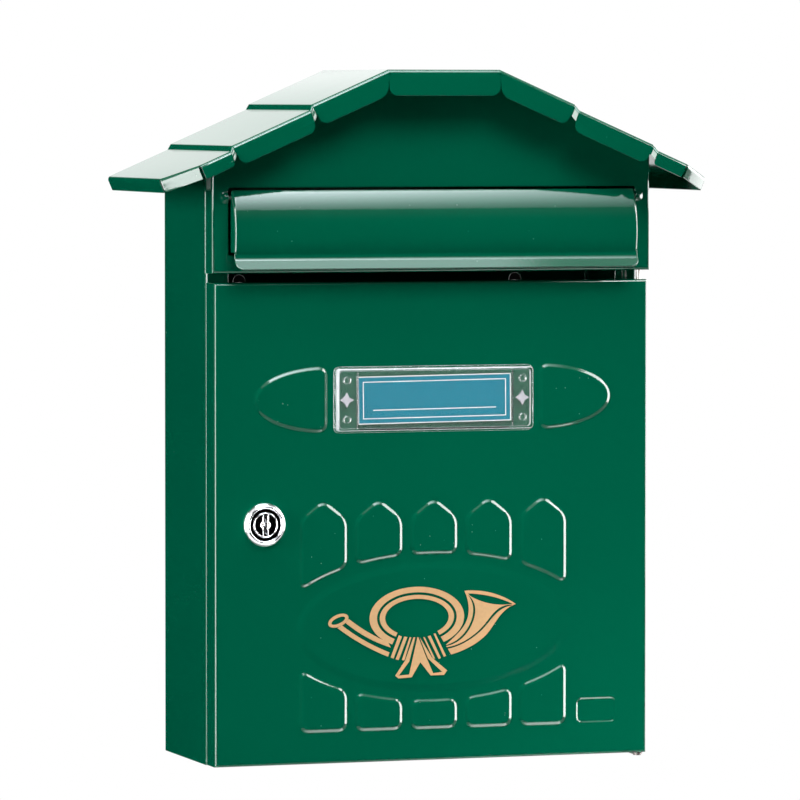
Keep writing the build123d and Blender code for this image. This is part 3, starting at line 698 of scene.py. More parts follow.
def math_node(tree, operation, first, second=None, clamp=False):
    """Math node fed by sockets or numbers. Returns its output."""
    node = tree.nodes.new("ShaderNodeMath")
    node.operation = operation
    node.use_clamp = clamp
    feed(tree, node.inputs[0], first)
    if second is not None:
        feed(tree, node.inputs[1], second)
    return node.outputs[0]


def map_range(tree, value, given=(0.0, 1.0), wanted=(0.0, 1.0), smooth=False):
    """Value carried from one range into another. Returns the result."""
    node = tree.nodes.new("ShaderNodeMapRange")
    if smooth:
        node.interpolation_type = "SMOOTHSTEP"
    labels = ("From Min", "From Max", "To Min", "To Max")
    for label, limit in zip(labels, (*given, *wanted)):
        node.inputs[label].default_value = limit
    tree.links.new(value, node.inputs["Value"])
    return node.outputs["Result"]


def speck_group():
    """Tiny scattered specks, such as dust caught in paint."""
    name = "Paint Specks"
    if name in bpy.data.node_groups:
        return bpy.data.node_groups[name]
    tree, given, result = group_tree(
        name,
        [("Cells", "NodeSocketFloat", 140.0), ("Size", "NodeSocketFloat", 0.05),
         ("Share", "NodeSocketFloat", 0.4)],
        [("Mask", "NodeSocketFloat")])
    place = tree.nodes.new("ShaderNodeTexCoord")
    cells = tree.nodes.new("ShaderNodeTexVoronoi")
    tree.links.new(place.outputs["Object"], cells.inputs["Vector"])
    tree.links.new(given.outputs["Cells"], cells.inputs["Scale"])
    split = tree.nodes.new("ShaderNodeSeparateColor")
    tree.links.new(cells.outputs["Color"], split.inputs["Color"])
    chosen = math_node(tree, "LESS_THAN", split.outputs["Red"], given.outputs["Share"])
    radius = math_node(tree, "MULTIPLY", given.outputs["Size"], split.outputs["Green"])
    near = math_node(tree, "LESS_THAN", cells.outputs["Distance"], radius)
    tree.links.new(math_node(tree, "MULTIPLY", chosen, near), result.inputs["Mask"])
    return tree


def ripple_group():
    """Slow uneven surface height, such as the flow of paint or moulded plastic."""
    name = "Surface Flow"
    if name in bpy.data.node_groups:
        return bpy.data.node_groups[name]
    tree, given, result = group_tree(
        name,
        [("Scale", "NodeSocketFloat", 250.0), ("Detail", "NodeSocketFloat", 2.0)],
        [("Height", "NodeSocketFloat")])
    place = tree.nodes.new("ShaderNodeTexCoord")
    noise = tree.nodes.new("ShaderNodeTexNoise")
    tree.links.new(place.outputs["Object"], noise.inputs["Vector"])
    tree.links.new(given.outputs["Scale"], noise.inputs["Scale"])
    tree.links.new(given.outputs["Detail"], noise.inputs["Detail"])
    tree.links.new(noise.outputs["Fac"], result.inputs["Height"])
    return tree


def new_material(name):
    """Material with a fresh Principled shader. Returns the material, its tree and the shader."""
    material = bpy.data.materials.new(name)
    material.use_nodes = True
    return material, material.node_tree, material.node_tree.nodes["Principled BSDF"]


def add_group(tree, group, **values):
    """Group node with values set on its inputs."""
    node = tree.nodes.new("ShaderNodeGroup")
    node.node_tree = group
    for label, value in values.items():
        node.inputs[label].default_value = value
    return node


def mix_colour(tree, factor, first, second):
    """Colour mix fed by sockets or colours. Returns its output."""
    node = tree.nodes.new("ShaderNodeMix")
    node.data_type = "RGBA"
    for index, value in ((0, factor), (6, first), (7, second)):
        feed(tree, node.inputs[index], value)
    return node.outputs[2]


def mottle(tree, shader, scale, detail, dark, light):
    """Base colour that drifts between two colours. Returns the height it follows."""
    height = add_group(tree, ripple_group(), Scale=scale, Detail=detail).outputs["Height"]
    tree.links.new(mix_colour(tree, height, dark, light), shader.inputs["Base Color"])
    return height


def add_bump(tree, shader, height, strength, distance):
    """Bump from a height, into the shader's normal."""
    bump = tree.nodes.new("ShaderNodeBump")
    bump.inputs["Strength"].default_value = strength
    bump.inputs["Distance"].default_value = distance
    tree.links.new(height, bump.inputs["Height"])
    tree.links.new(bump.outputs["Normal"], shader.inputs["Normal"])


def shade(colour, factor):
    """Colour made lighter or darker."""
    return tuple(min(1.0, c * factor) for c in colour)


def paint_material():
    """Gloss paint with faint cloudiness, caught dust and a little flow."""
    if "gloss_paint" in bpy.data.materials:
        return bpy.data.materials["gloss_paint"]
    material, tree, shader = new_material("gloss_paint")
    colour = tuple(look().paint)
    cloud = add_group(tree, ripple_group(), Scale=9.0, Detail=2.0)
    base = mix_colour(tree, cloud.outputs["Height"], shade(colour, 0.9), shade(colour, 1.1))
    specks = add_group(tree, speck_group(), Cells=400.0, Size=0.12, Share=0.16)
    dust = (colour[0] + 0.12, min(1.0, colour[1] * 3.2), min(1.0, colour[2] * 4.6))
    dusted = mix_colour(tree, specks.outputs["Mask"], base, dust)
    tree.links.new(dusted, shader.inputs["Base Color"])
    flow = add_group(tree, ripple_group(), Scale=700.0, Detail=2.0)
    add_bump(tree, shader, flow.outputs["Height"], 0.42, FINE_RELIEF)
    shader.inputs["Roughness"].default_value = look().paint_roughness
    shader.inputs["IOR"].default_value = 1.5
    return material


def metal_material(name):
    """One of the metals, with a faint grain in its gloss."""
    if name in bpy.data.materials:
        return bpy.data.materials[name]
    colour, roughness, scale, relief = METALS[name]
    material, tree, shader = new_material(name)
    grain = mottle(tree, shader, scale, 3.0, shade(colour, 0.85), shade(colour, 1.1))
    rough = map_range(tree, grain, wanted=(roughness * 0.7, roughness * 1.3))
    tree.links.new(rough, shader.inputs["Roughness"])
    shader.inputs["Metallic"].default_value = 1.0
    add_bump(tree, shader, grain, relief, FINE_RELIEF)
    return material


def clear_material():
    """Clear moulded plastic with a little flow in its surface."""
    if "clear_moulding" in bpy.data.materials:
        return bpy.data.materials["clear_moulding"]
    material, tree, shader = new_material("clear_moulding")
    shader.inputs["Base Color"].default_value = (0.97, 0.98, 0.98, 1)
    shader.inputs["Roughness"].default_value = 0.04
    shader.inputs["IOR"].default_value = CLEAR_IOR
    shader.inputs["Transmission Weight"].default_value = 1.0
    flow = add_group(tree, ripple_group(), Scale=180.0, Detail=2.0)
    add_bump(tree, shader, flow.outputs["Height"], 0.02, FINE_RELIEF)
    return material


def painted_glow_edge_material():
    """Painted highlight: a lighter, half-clear copy of the moulding for its walls and roundings,
    where light gathers.
    """
    material, tree, shader = new_material("painted_glow_edge")
    # Lavender-white colours of the painted highlight
    mottle(tree, shader, 260.0, 2.0, (0.62, 0.63, 0.68), (0.92, 0.92, 0.96))
    shader.inputs["Roughness"].default_value = 0.12
    shader.inputs["IOR"].default_value = CLEAR_IOR
    shader.inputs["Transmission Weight"].default_value = 0.35
    return material


def star_material():
    """Cloudy plastic of the star-shaped rivets."""
    if "star_moulding" in bpy.data.materials:
        return bpy.data.materials["star_moulding"]
    material, tree, shader = new_material("star_moulding")
    cloud = mottle(tree, shader, 420.0, 2.0, (0.42, 0.42, 0.47), (0.66, 0.64, 0.7))
    shader.inputs["Roughness"].default_value = 0.16
    shader.inputs["IOR"].default_value = CLEAR_IOR
    add_bump(tree, shader, cloud, 0.4, STAR_RELIEF)
    return material


def band(tree, value, low, high):
    """Mask that is one between two limits of a value."""
    above = math_node(tree, "GREATER_THAN", value, low)
    below = math_node(tree, "LESS_THAN", value, high)
    return math_node(tree, "MULTIPLY", above, below)


def card_material():
    """Printed paper: a plain field with pale lines at its border and fine fibres."""
    material, tree, shader = new_material("name_card_print")
    place = tree.nodes.new("ShaderNodeTexCoord")
    axes = tree.nodes.new("ShaderNodeSeparateXYZ")
    tree.links.new(place.outputs["UV"], axes.inputs["Vector"])
    across = math_node(tree, "ABSOLUTE", axes.outputs["X"])
    up = math_node(tree, "ABSOLUTE", axes.outputs["Y"])
    margin, frame_in, line = 0.5 * MM, 2.6 * MM, 0.45 * MM
    edge = math_node(
        tree, "MAXIMUM",
        math_node(tree, "GREATER_THAN", across, CARD_HALF_X - margin),
        math_node(tree, "GREATER_THAN", up, CARD_HALF_Z - margin))
    border = math_node(
        tree, "MAXIMUM",
        math_node(tree, "SUBTRACT", across, CARD_HALF_X - frame_in),
        math_node(tree, "SUBTRACT", up, CARD_HALF_Z - frame_in))
    edge = math_node(tree, "MAXIMUM", edge, band(tree, border, -line, 0.0))
    rule_z, rule_half = 5.0 * MM, CARD_HALF_X - 8.0 * MM
    rule = math_node(
        tree, "MULTIPLY",
        band(tree, axes.outputs["Y"], -rule_z - line / 2, -rule_z + line / 2),
        math_node(tree, "LESS_THAN", across, rule_half))
    lines = math_node(tree, "MAXIMUM", edge, rule)
    fibre = add_group(tree, ripple_group(), Scale=900.0, Detail=4.0).outputs["Height"]
    colour = tuple(look().card)
    field = mix_colour(tree, fibre, shade(colour, 0.9), shade(colour, 1.12))
    printed = mix_colour(tree, lines, field, (0.85, 0.88, 0.88))
    tree.links.new(printed, shader.inputs["Base Color"])
    shader.inputs["Roughness"].default_value = 0.55
    shader.inputs["Specular IOR Level"].default_value = 0.08
    add_bump(tree, shader, fibre, 0.2, PRINT_RELIEF)
    return material


def gold_material():
    """Printed horn: tan fill with fine grain."""
    material, tree, shader = new_material("horn_print")
    colour = tuple(look().gold)
    grain = mottle(tree, shader, 700.0, 3.0, shade(colour, 0.9), shade(colour, 1.1))
    shader.inputs["Roughness"].default_value = 0.35
    add_bump(tree, shader, grain, 0.15, PRINT_RELIEF)
    return material


# Pieces


def picket_outlines():
    """Upper and lower halves of the pickets, parted by the clearing round the oval."""
    outlines = []
    for index in range(PICKETS):
        x = (index - (PICKETS - 1) / 2) * FENCE_PITCH
        left, right = x - PICKET_HALF, x + PICKET_HALF
        reach = [left + 2 * PICKET_HALF * i / PICKET_STEPS for i in range(PICKET_STEPS + 1)]
        rim = [(u, CLEARING[1] * math.sqrt(max(0.0, 1 - (u / CLEARING[0]) ** 2))) for u in reach]
        upper = [(u, OVAL_Z + w) for u, w in rim]
        upper += [(right, PICKET_SHOULDER), (x, PICKET_PEAK), (left, PICKET_SHOULDER)]
        lower = [(u, OVAL_Z - w) for u, w in rim]
        lower += [(right, PICKET_FOOT), (left, PICKET_FOOT)]
        outlines += [upper, lower]
    return outlines


def leaf_outlines():
    """Half ovals at the two ends of the name holder."""
    right = ellipse((LEAF_START, LEAF_Z), LEAF, LEAF_POINTS, -math.pi / 2, math.pi / 2)
    return [right, [(-x, z) for x, z in reversed(right)]]


class MAILBOX_OT_door(bpy.types.Operator):
    """Builds the pressed door pan"""

    bl_idname = "mailbox.door"
    bl_label = "Door"

    def execute(self, context):
        sizes = shape()
        bm = bmesh.new()
        low, high = DOOR_LOW.z, DOOR_HIGH.z
        fold = sizes.fold
        holes = []
        for outline in picket_outlines() + leaf_outlines():
            soft = softened(outline, PRESS_SPACING, sizes.press_corner)
            holes.append(pressed(bm, soft, sizes.press_width, sizes.press_height, PRESS_STEPS))
        oval = ellipse((0, OVAL_Z), OVAL, OVAL_POINTS)
        holes.append(pressed(bm, oval, sizes.oval_width, sizes.oval_height, OVAL_STEPS))
        badge = rounded_box(BADGE_MIDDLE, BADGE_SIZE, BADGE_CORNER, BADGE_POINTS)
        badge = softened(badge, BADGE_SPACING, BADGE_SOFTNESS)
        holes.append(pressed(bm, badge, BADGE_SLOPE, -sizes.badge_depth, BADGE_STEPS))
        round_holes = [((LOCK_MIDDLE.x, LOCK_MIDDLE.z), LOCK_HOLE)]
        round_holes += [((side * POST_X, NAME_Z), RIVET_HOLE) for side in (-1, 1)]
        for middle, radius in round_holes:
            rim = ellipse(middle, (radius, radius), DOOR_HOLE_POINTS)
            holes.append(row(bm, at_depth(rim, FRONT)))
        rows = []
        for sine, lack in eased(FOLD_STEPS):
            out, back = fold * sine, FRONT + fold * lack
            x, z0, z1 = HALF - fold + out, low + fold - out, high - fold + out
            rows.append([(-x, back, z0), (x, back, z0), (x, back, z1), (-x, back, z1)])
        rows.append([(p[0], DOOR_HIGH.y, p[2]) for p in rows[-1]])
        made = grid(bm, rows, closed=True)
        flat_fill(bm, made[0], holes)
        face_out(bm, (0, -1, 0))
        obj = piece("door_pan", bm, paint_material(), "door", ["door"])
        sheet_finish(obj)
        return {"FINISHED"}


def roof_section():
    """Right half of the roof's outer line, from the ridge's end to the eave."""
    slope = math.tan(PITCH)
    x, z = RIDGE_HALF, RIDGE_TOP
    line = [(x, z)]
    for _ in range(2):
        x, z = x + PANEL_RUN, z - PANEL_RUN * slope
        line.append((x, z))
        x, z = x + STEP_OUT, z - STEP_DROP
        line.append((x, z))
    line.append((EAVE_HALF, z - (EAVE_HALF - x) * slope))
    return line


def under_roof():
    """Right half of the roof's line moved down, for what ends under it."""
    line = roof_section()
    ridge = (0.0, line[0][1] - GABLE_DROP)
    return [ridge] + [(x, z - GABLE_DROP / math.cos(PITCH)) for x, z in line]


def roof_height(x):
    """Height of the moved roof line at a distance from the middle."""
    line = under_roof()
    for (x0, z0), (x1, z1) in zip(line, line[1:]):
        if x0 <= x <= x1:
            return z0 + (z1 - z0) * (x - x0) / (x1 - x0)
    raise ValueError("beyond the eave")


def gable_top(half):
    """Points of the moved roof line between two upright sides, from the right to the left."""
    inner = [(x, z) for x, z in under_roof() if 0 < x < half]
    right = [(half, roof_height(half))] + inner[::-1]
    return right + [(-x, z) for x, z in reversed(right)]


class MAILBOX_OT_fascia(bpy.types.Operator):
    """Builds the upper front panel with its slot and the pressed pockets of the flap's rod"""

    bl_idname = "mailbox.fascia"
    bl_label = "Upper Front Panel"

    def execute(self, context):
        sizes = shape()
        fold = sizes.fold
        bm = bmesh.new()
        half, low = FASCIA_HIGH.x, FASCIA_LOW.z
        side_top = roof_height(half - fold)
        rows = []
        for sine, lack in eased(FOLD_STEPS):
            out, back = fold * sine, FRONT + fold * lack
            x, z = half - fold + out, low + fold - out
            rows.append([(-x, back, side_top), (-x, back, z), (x, back, z), (x, back, side_top)])
        last = rows[-1]
        for back, roll in FASCIA_FLARE:
            flare = 1 + roll * MM / half
            rows.append([(x * flare, FRONT + FASCIA_DEPTH - back * MM, z) for x, _, z in last])
        made = grid(bm, rows)
        crown = row(bm, at_depth(gable_top(half - fold)[1:-1], FRONT))
        slot_size = (2 * SLOT_HALF, SLOT_HIGH - SLOT_LOW)
        slot = rounded_box((0, (SLOT_LOW + SLOT_HIGH) / 2), slot_size, SLOT_CORNER, SLOT_POINTS)
        flat_fill(bm, made[0] + crown, [row(bm, at_depth(slot, FRONT))])
        face_out(bm, (0, -1, 0))
        obj = piece("fascia_panel", bm, paint_material(), "case", ["fascia"])
        sheet_finish(obj, FASCIA_EDGE)
        self.pockets()
        return {"FINISHED"}

    def pockets(self):
        """Soft bumps beside the slot, pressed out over the ends of the rod."""
        bm = bmesh.new()
        rod_z = (ROD_LOW.z + ROD_HIGH.z) / 2
        for side in (-1, 1):
            rows = []
            for i in range(POCKET_STEPS + 1):
                across = i / POCKET_STEPS
                x = side * (POCKET_START + POCKET_WIDE * across)
                line = []
                for k in range(2 * POCKET_STEPS + 1):
                    up = k / POCKET_STEPS - 1
                    bell = (1 - up * up) ** 2 * (1 - across ** 3) ** 2
                    y = FRONT + POCKET_SINK - POCKET_RISE * bell
                    line.append((x, y, rod_z + POCKET_TALL * up))
                rows.append(line)
            rows.insert(0, [(x, FRONT + POCKET_FOOT, z) for x, _, z in rows[0]])
            grid(bm, rows)
        face_out(bm, (0, -1, 0))
        piece("rod_pockets", bm, paint_material(), "case", [])


class MAILBOX_OT_flap(bpy.types.Operator):
    """Builds the bulged letter flap with its finger lip and ears"""

    bl_idname = "mailbox.flap"
    bl_label = "Letter Flap"

    def execute(self, context):
        sizes = shape()
        bm = bmesh.new()
        half = FLAP_HIGH.x
        section = self.bulge(FLAP_HIGH.z)
        shoulder = half - FLAP_END
        ends = [(shoulder + FLAP_END * sine, FLAP_END * lack)
                for sine, lack in eased(FLAP_END_STEPS)]
        flats = [shoulder * (i / FLAP_COLUMNS * 2 - 1) for i in range(1, FLAP_COLUMNS)]
        stop = FRONT - FLAP_STOP
        rows = []
        for (y, z), (ny, nz) in section:
            right = [(x, y - ny * sink, z - nz * sink) for x, sink in ends]
            line = [(-x, py, pz) for x, py, pz in reversed(right)]
            line += [(x, y, z) for x in flats] + right
            rims = [(px, max(py, stop), pz) for px, py, pz in (line[0], line[-1])]
            rows.append([rims[0]] + line + [rims[1]])
        grid(bm, rows)
        self.lip(bm, half, section[-1][0], sizes.lip_corner, flats, shoulder)
        bmesh.ops.dissolve_degenerate(bm, dist=1e-7, edges=bm.edges)
        face_out(bm, (0, -1, 0))
        obj = piece("letter_flap", bm, paint_material(), "flap", ["flap"])
        sheet_finish(obj)
        return {"FINISHED"}

    def bulge(self, top):
        """Points of the flap's outer arc with their normals, from its top edge to its fold."""
        first = Vector((FRONT - FLAP_TOP_OUT, top))
        middle = Vector((FRONT - FLAP_BULGE, top - FLAP_BULGE_DROP))
        last = Vector((FRONT - FLAP_FOLD_OUT, FLAP_FOLD_Z))
        centre = self.centre(first, middle, last)
        radius = (first - centre).length
        start = math.atan2(first.y - centre.y, first.x - centre.x) % (2 * math.pi)
        end = math.atan2(last.y - centre.y, last.x - centre.x) % (2 * math.pi)
        points = []
        stop = 1 - FLAP_FOLD_REACH / (radius * abs(end - start))
        for i in range(FLAP_ARC_STEPS + 1):
            angle = start + (end - start) * stop * i / FLAP_ARC_STEPS
            normal = Vector((math.cos(angle), math.sin(angle)))
            points.append((tuple(centre + radius * normal), tuple(normal)))
        return points

    def centre(self, a, b, c):
        """Middle of the circle through three points."""
        d = 2 * (a.x * (b.y - c.y) + b.x * (c.y - a.y) + c.x * (a.y - b.y))
        aa, bb, cc = a.length_squared, b.length_squared, c.length_squared
        return Vector((
            (aa * (b.y - c.y) + bb * (c.y - a.y) + cc * (a.y - b.y)) / d,
            (aa * (c.x - b.x) + bb * (a.x - c.x) + cc * (b.x - a.x)) / d,
        ))

    def lip(self, bm, half, start, corner, flats, shoulder):
        """Rounded fold and flared lip below the bulge, with round lower corners."""
        first = Vector(start)
        fold = Vector((FRONT - FLAP_FOLD_OUT, FLAP_FOLD_Z))
        end = Vector((FRONT - FLAP_LIP_OUT, FLAP_LIP_Z))
        onward = fold + (end - fold).normalized() * FLAP_FOLD_REACH
        points = []
        for i in range(FLAP_FOLD_STEPS + 1):
            t = i / FLAP_FOLD_STEPS
            points.append(first * (1 - t) ** 2 + fold * (2 * t * (1 - t)) + onward * t ** 2)
        points += [onward.lerp(end, sine) for sine, _ in eased(FLAP_LIP_STEPS)[1:]]
        rows = []
        for y, z in points:
            over = max(0.0, corner - (end - Vector((y, z))).length)
            edge = half - (corner - math.sqrt(max(0.0, corner ** 2 - over ** 2)))
            xs = [-edge, -shoulder * edge / half] + [x * edge / half for x in flats]
            xs += [shoulder * edge / half, edge]
            rows.append([(x, y, z) for x in xs])
        grid(bm, rows)


class MAILBOX_OT_roof(bpy.types.Operator):
    """Builds the stepped roof sheet with its folded flanges"""

    bl_idname = "mailbox.roof"
    bl_label = "Roof"

    def execute(self, context):
        sizes = shape()
        bm = bmesh.new()
        fold = sizes.roof_fold
        smooth = filleted(roof_section(), STEP_ROUNDS, STEP_ROUND_STEPS)
        fronts = [ROOF_FRONT - k * sizes.tab_proud + fold for k in range(3)]
        columns, strips = self.sheet_front(smooth, fronts)
        down = Vector((math.cos(PITCH), 0, -math.sin(PITCH)))
        lowest = Vector((columns[-1].x, 0, columns[-1].z))
        corner, side = self.cut_corner(lowest, down, fronts[-1], fold)
        columns += [corner, side]
        for mirror in (1, -1):
            grid(bm, [[(mirror * x, y, z) for x, y, z in columns],
                      [(mirror * x, 0.0, z) for x, _, z in columns]])
        self.flanges(bm, columns, strips, corner, side, down)
        face_out(bm, (0, 0, 1))
        obj = piece("roof_sheet", bm, paint_material(), "case", ["roof"])
        sheet_finish(obj, 0.0)
        return {"FINISHED"}

    def sheet_front(self, smooth, fronts):
        """Points of the right half's front edge, and those of the strip at each step."""
        columns, strips = [Vector((0.0, fronts[0], RIDGE_TOP))], []
        step = 2 * (STEP_ROUND_STEPS + 1)
        for k, (upper, lower) in enumerate(zip(fronts, fronts[1:])):
            start = step * k
            x, z = smooth[start]
            columns.append(Vector((x, upper, z)))
            stretch = smooth[start + 1:start + step + 1]
            span = []
            for x, z in stretch:
                share = (x - stretch[0][0]) / (stretch[-1][0] - stretch[0][0])
                share = min(1.0, max(0.0, (share - JOGGLE_START) / JOGGLE_SPAN))
                span.append(Vector((x, upper + (lower - upper) * share, z)))
            strips.append(span)
            columns += span[:-1]
        x, z = smooth[step * len(strips)]
        columns.append(Vector((x, fronts[-1], z)))
        return columns, strips

    def flanges(self, bm, columns, strips, corner, side, down):
        """Flanges of the ridge, of the panels, of the cut corners and of the eaves."""
        forward, up = Vector((0, -1, 0)), Vector((0, 0, 1))
        normal = Vector((math.sin(PITCH), 0, math.cos(PITCH)))
        ridge = columns[1]
        ridge_edge = (Vector((-ridge.x, ridge.y, ridge.z)), ridge)
        self.tab(bm, ridge_edge, forward, up, RIDGE_TAB, (TAB_SLIT, TAB_SLIT))
        corner_way = (side - corner).normalized().cross(normal)
        if corner_way.dot(forward) < 0:
            corner_way = -corner_way
        back = Vector((side.x, 0.0, side.z))
        flanges = (
            ((ridge, columns[2]), forward, PANEL_TABS[0],
             {"slits": (TAB_SLIT, 0.0), "lean": PANEL_TABS[0] * math.tan(PITCH),
              "joins": STEP_STRIPS[:1]}),
            ((strips[0][-1], strips[1][0]), forward, PANEL_TABS[1], {"joins": STEP_STRIPS}),
            ((strips[1][-1], corner), forward, PANEL_TABS[2],
             {"slits": (0.0, TAB_SLIT), "corners": (SMALL, SQUARE), "joins": STEP_STRIPS[1:]}),
            ((corner, side), corner_way, CORNER_TAB,
             {"slits": (TAB_SLIT, 0.0), "corners": (SQUARE, SQUARE)}),
            ((side, back), down, EAVE_TAB, {"corners": (SQUARE, SQUARE)}),
        )
        for mirror in (1, -1):
            flip = Matrix.Diagonal((mirror, 1, 1))
            for edge, way, depth, options in flanges:
                ends = [flip @ point for point in edge]
                self.tab(bm, ends, flip @ way, flip @ normal, depth, **options)
            for span, depth in zip(strips, STEP_STRIPS):
                self.strip(bm, [flip @ point for point in span], forward, flip @ normal, depth)

    def cut_corner(self, start, down, front, fold):
        """Ends of the slanting front corner of the lowest panel, drawn in by the fold."""
        across = (EAVE_HALF - start.x) / down.x
        cut = CORNER_CUT / down.x
        edge = Vector((cut, CORNER_CUT)).normalized()
        inward = Vector((-edge.y, edge.x))
        point = Vector((across - cut, front - fold)) + inward * fold
        at_front = point + edge * ((front - point.y) / edge.y)
        at_side = point + edge * ((across - fold - point.x) / edge.x)
        places = []
        for u, y in (at_front, at_side):
            spot = start + down * u
            places.append(Vector((spot.x, y, spot.z)))
        return places

    def arc(self, out, normal, fold):
        """Steps of the fold from the panel into its flange."""
        return [(sine * out - lack * normal) * fold for sine, lack in eased(FLANGE_STEPS)]

    def tab(self, bm, edge, out, normal, depth, slits=(0.0, 0.0), lean=0.0,
            corners=(ROUND, ROUND), joins=()):
        """Flange folded down from a straight edge, with round lower corners.

        It has a row of points at the depth of each strip that joins it.
        """
        fold = shape().roof_fold
        first, last = edge
        along = (last - first).normalized()
        length = (last - first).length
        corner = min(shape().tab_corner, TAB_CORNER_LENGTH * (length - lean),
                     TAB_CORNER_DEPTH * (depth - fold))
        rows = []
        turned = self.arc(out, normal, fold)
        for i, shift in enumerate(turned):
            share = i / (len(turned) - 1)
            rows.append([
                first + shift + along * slits[0] * share,
                last + shift - along * slits[1] * share,
            ])
        levels = [depth - corner + corner * sine for sine, _ in eased(TAB_STEPS)]
        for level in sorted([*levels, *joins]):
            below = level - (depth - corner)
            insets = []
            for share in corners:
                radius = corner * share
                over = max(0.0, below - (corner - radius))
                insets.append(radius - math.sqrt(max(0.0, radius ** 2 - over ** 2)))
            shift = fold * out - level * normal
            rows.append([
                first + shift + along * (slits[0] + lean * level / depth + insets[0]),
                last + shift - along * (slits[1] + insets[1]),
            ])
        grid(bm, [[a, a.lerp(b, 0.5), b] for a, b in rows])

    def strip(self, bm, points, out, normal, depth):
        """Joggled strip that joins two flanges at a step of the roof."""
        fold = shape().roof_fold
        rows = [[p + shift for p in points] for shift in self.arc(out, normal, fold)]
        rows.append([p + fold * out - depth * normal for p in points])
        grid(bm, rows)


class MAILBOX_OT_body(bpy.types.Operator):
    """Builds the folded back, sides and door jambs"""

    bl_idname = "mailbox.body"
    bl_label = "Body Shell"

    def execute(self, context):
        fold = shape().fold
        bm = bmesh.new()
        corners = [(HALF - JAMB_WIDTH, JAMB_FRONT), (HALF, JAMB_FRONT), (HALF, 0.0)]
        corners += [(-x, y) for x, y in reversed(corners)]
        path = filleted(corners, (fold,) * 4, BODY_STEPS)
        turn = BODY_STEPS + 1
        right, left = path[1 + turn:1 + 2 * turn], path[1 + 2 * turn:1 + 3 * turn]
        jamb_right = path[:1 + turn] + right
        jamb_left = left + path[1 + 3 * turn:]
        upper_right = [(HALF, SIDE_FRONT), path[turn]] + right
        upper_left = left + [path[1 + 3 * turn], (-HALF, SIDE_FRONT)]
        side_top = roof_height(HALF)
        for part, low, high in (
                (jamb_right, BOTTOM, SIDE_STEP), (upper_right, SIDE_STEP, side_top),
                (jamb_left, BOTTOM, SIDE_STEP), (upper_left, SIDE_STEP, side_top)):
            grid(bm, [[(x, y, z) for x, y in part] for z in (low, high)])
        inner = HALF - fold
        outline = [(-inner, BOTTOM), (inner, BOTTOM), (inner, SIDE_STEP), (inner, side_top)]
        outline += gable_top(inner)[1:-1] + [(-inner, side_top), (-inner, SIDE_STEP)]
        holes = []
        ring = row(bm, at_depth(outline, 0.0))
        for x in (-HOLE_X, HOLE_X):
            for z in (-HOLE_Z, HOLE_Z):
                rim, collar = (
                    row(bm, at_depth(ellipse((x, z), (radius, radius), HOLE_POINTS), 0.0))
                    for radius in (HOLE_RADIUS, HOLE_COLLAR))
                bridge(bm, rim, collar, closed=True)
                holes.append(collar)
        flat_fill(bm, ring, holes)
        face_out(bm, (0, 1, 0))
        obj = piece("body_shell_sheet", bm, paint_material(), "case", ["body_shell"])
        sheet_finish(obj)
        return {"FINISHED"}


def post_tree(material):
    """Geometry node tree that sets posts in a row along Z at both ends of the name holder."""
    tree = bpy.data.node_groups.new("Holder Posts", "GeometryNodeTree")
    face = tree.interface
    face.new_socket("Geometry", in_out="OUTPUT", socket_type="NodeSocketGeometry")
    for label, kind, value in (
            ("Count", "NodeSocketInt", 2),
            ("Spacing", "NodeSocketFloat", 2 * POST_Z),
            ("End Distance", "NodeSocketFloat", POST_X),
            ("Outer Radius", "NodeSocketFloat", POST_RADIUS),
            ("Height", "NodeSocketFloat", POST_TALL)):
        face.new_socket(label, in_out="INPUT", socket_type=kind).default_value = value
    nodes, links = tree.nodes, tree.links
    given, result = nodes.new("NodeGroupInput"), nodes.new("NodeGroupOutput")

    def point(x, z):
        node = nodes.new("ShaderNodeCombineXYZ")
        feed(tree, node.inputs["X"], x)
        feed(tree, node.inputs["Z"], z)
        return node.outputs[0]

    gaps = math_node(tree, "SUBTRACT", given.outputs["Count"], 1)
    span = math_node(tree, "MULTIPLY", given.outputs["Spacing"], gaps)
    foot = math_node(tree, "MULTIPLY", span, -0.5)
    rows = []
    for side in (-1, 1):
        line = nodes.new("GeometryNodeMeshLine")
        links.new(given.outputs["Count"], line.inputs["Count"])
        x = math_node(tree, "MULTIPLY", given.outputs["End Distance"], side)
        links.new(point(x, foot), line.inputs["Start Location"])
        links.new(point(0.0, given.outputs["Spacing"]), line.inputs["Offset"])
        rows.append(line.outputs["Mesh"])
    both = nodes.new("GeometryNodeJoinGeometry")
    for mesh in rows:
        links.new(mesh, both.inputs["Geometry"])
    loop = nodes.new("GeometryNodeCurvePrimitiveCircle")
    loop.inputs["Resolution"].default_value = POST_POINTS
    middle = math_node(tree, "SUBTRACT", given.outputs["Outer Radius"], POST_WALL / 2)
    links.new(middle, loop.inputs["Radius"])
    wall = nodes.new("GeometryNodeCurvePrimitiveQuadrilateral")
    wall.inputs["Width"].default_value = POST_WALL
    links.new(given.outputs["Height"], wall.inputs["Height"])
    post = nodes.new("GeometryNodeCurveToMesh")
    links.new(loop.outputs["Curve"], post.inputs["Curve"])
    links.new(wall.outputs["Curve"], post.inputs["Profile Curve"])
    place = nodes.new("GeometryNodeInstanceOnPoints")
    links.new(both.outputs["Geometry"], place.inputs["Points"])
    links.new(post.outputs["Mesh"], place.inputs["Instance"])
    place.inputs["Rotation"].default_value = (math.pi / 2, 0, 0)
    real = nodes.new("GeometryNodeRealizeInstances")
    links.new(place.outputs["Instances"], real.inputs["Geometry"])
    finish = nodes.new("GeometryNodeSetMaterial")
    finish.inputs["Material"].default_value = material
    links.new(real.outputs["Geometry"], finish.inputs["Geometry"])
    links.new(finish.outputs["Geometry"], result.inputs["Geometry"])
    return tree


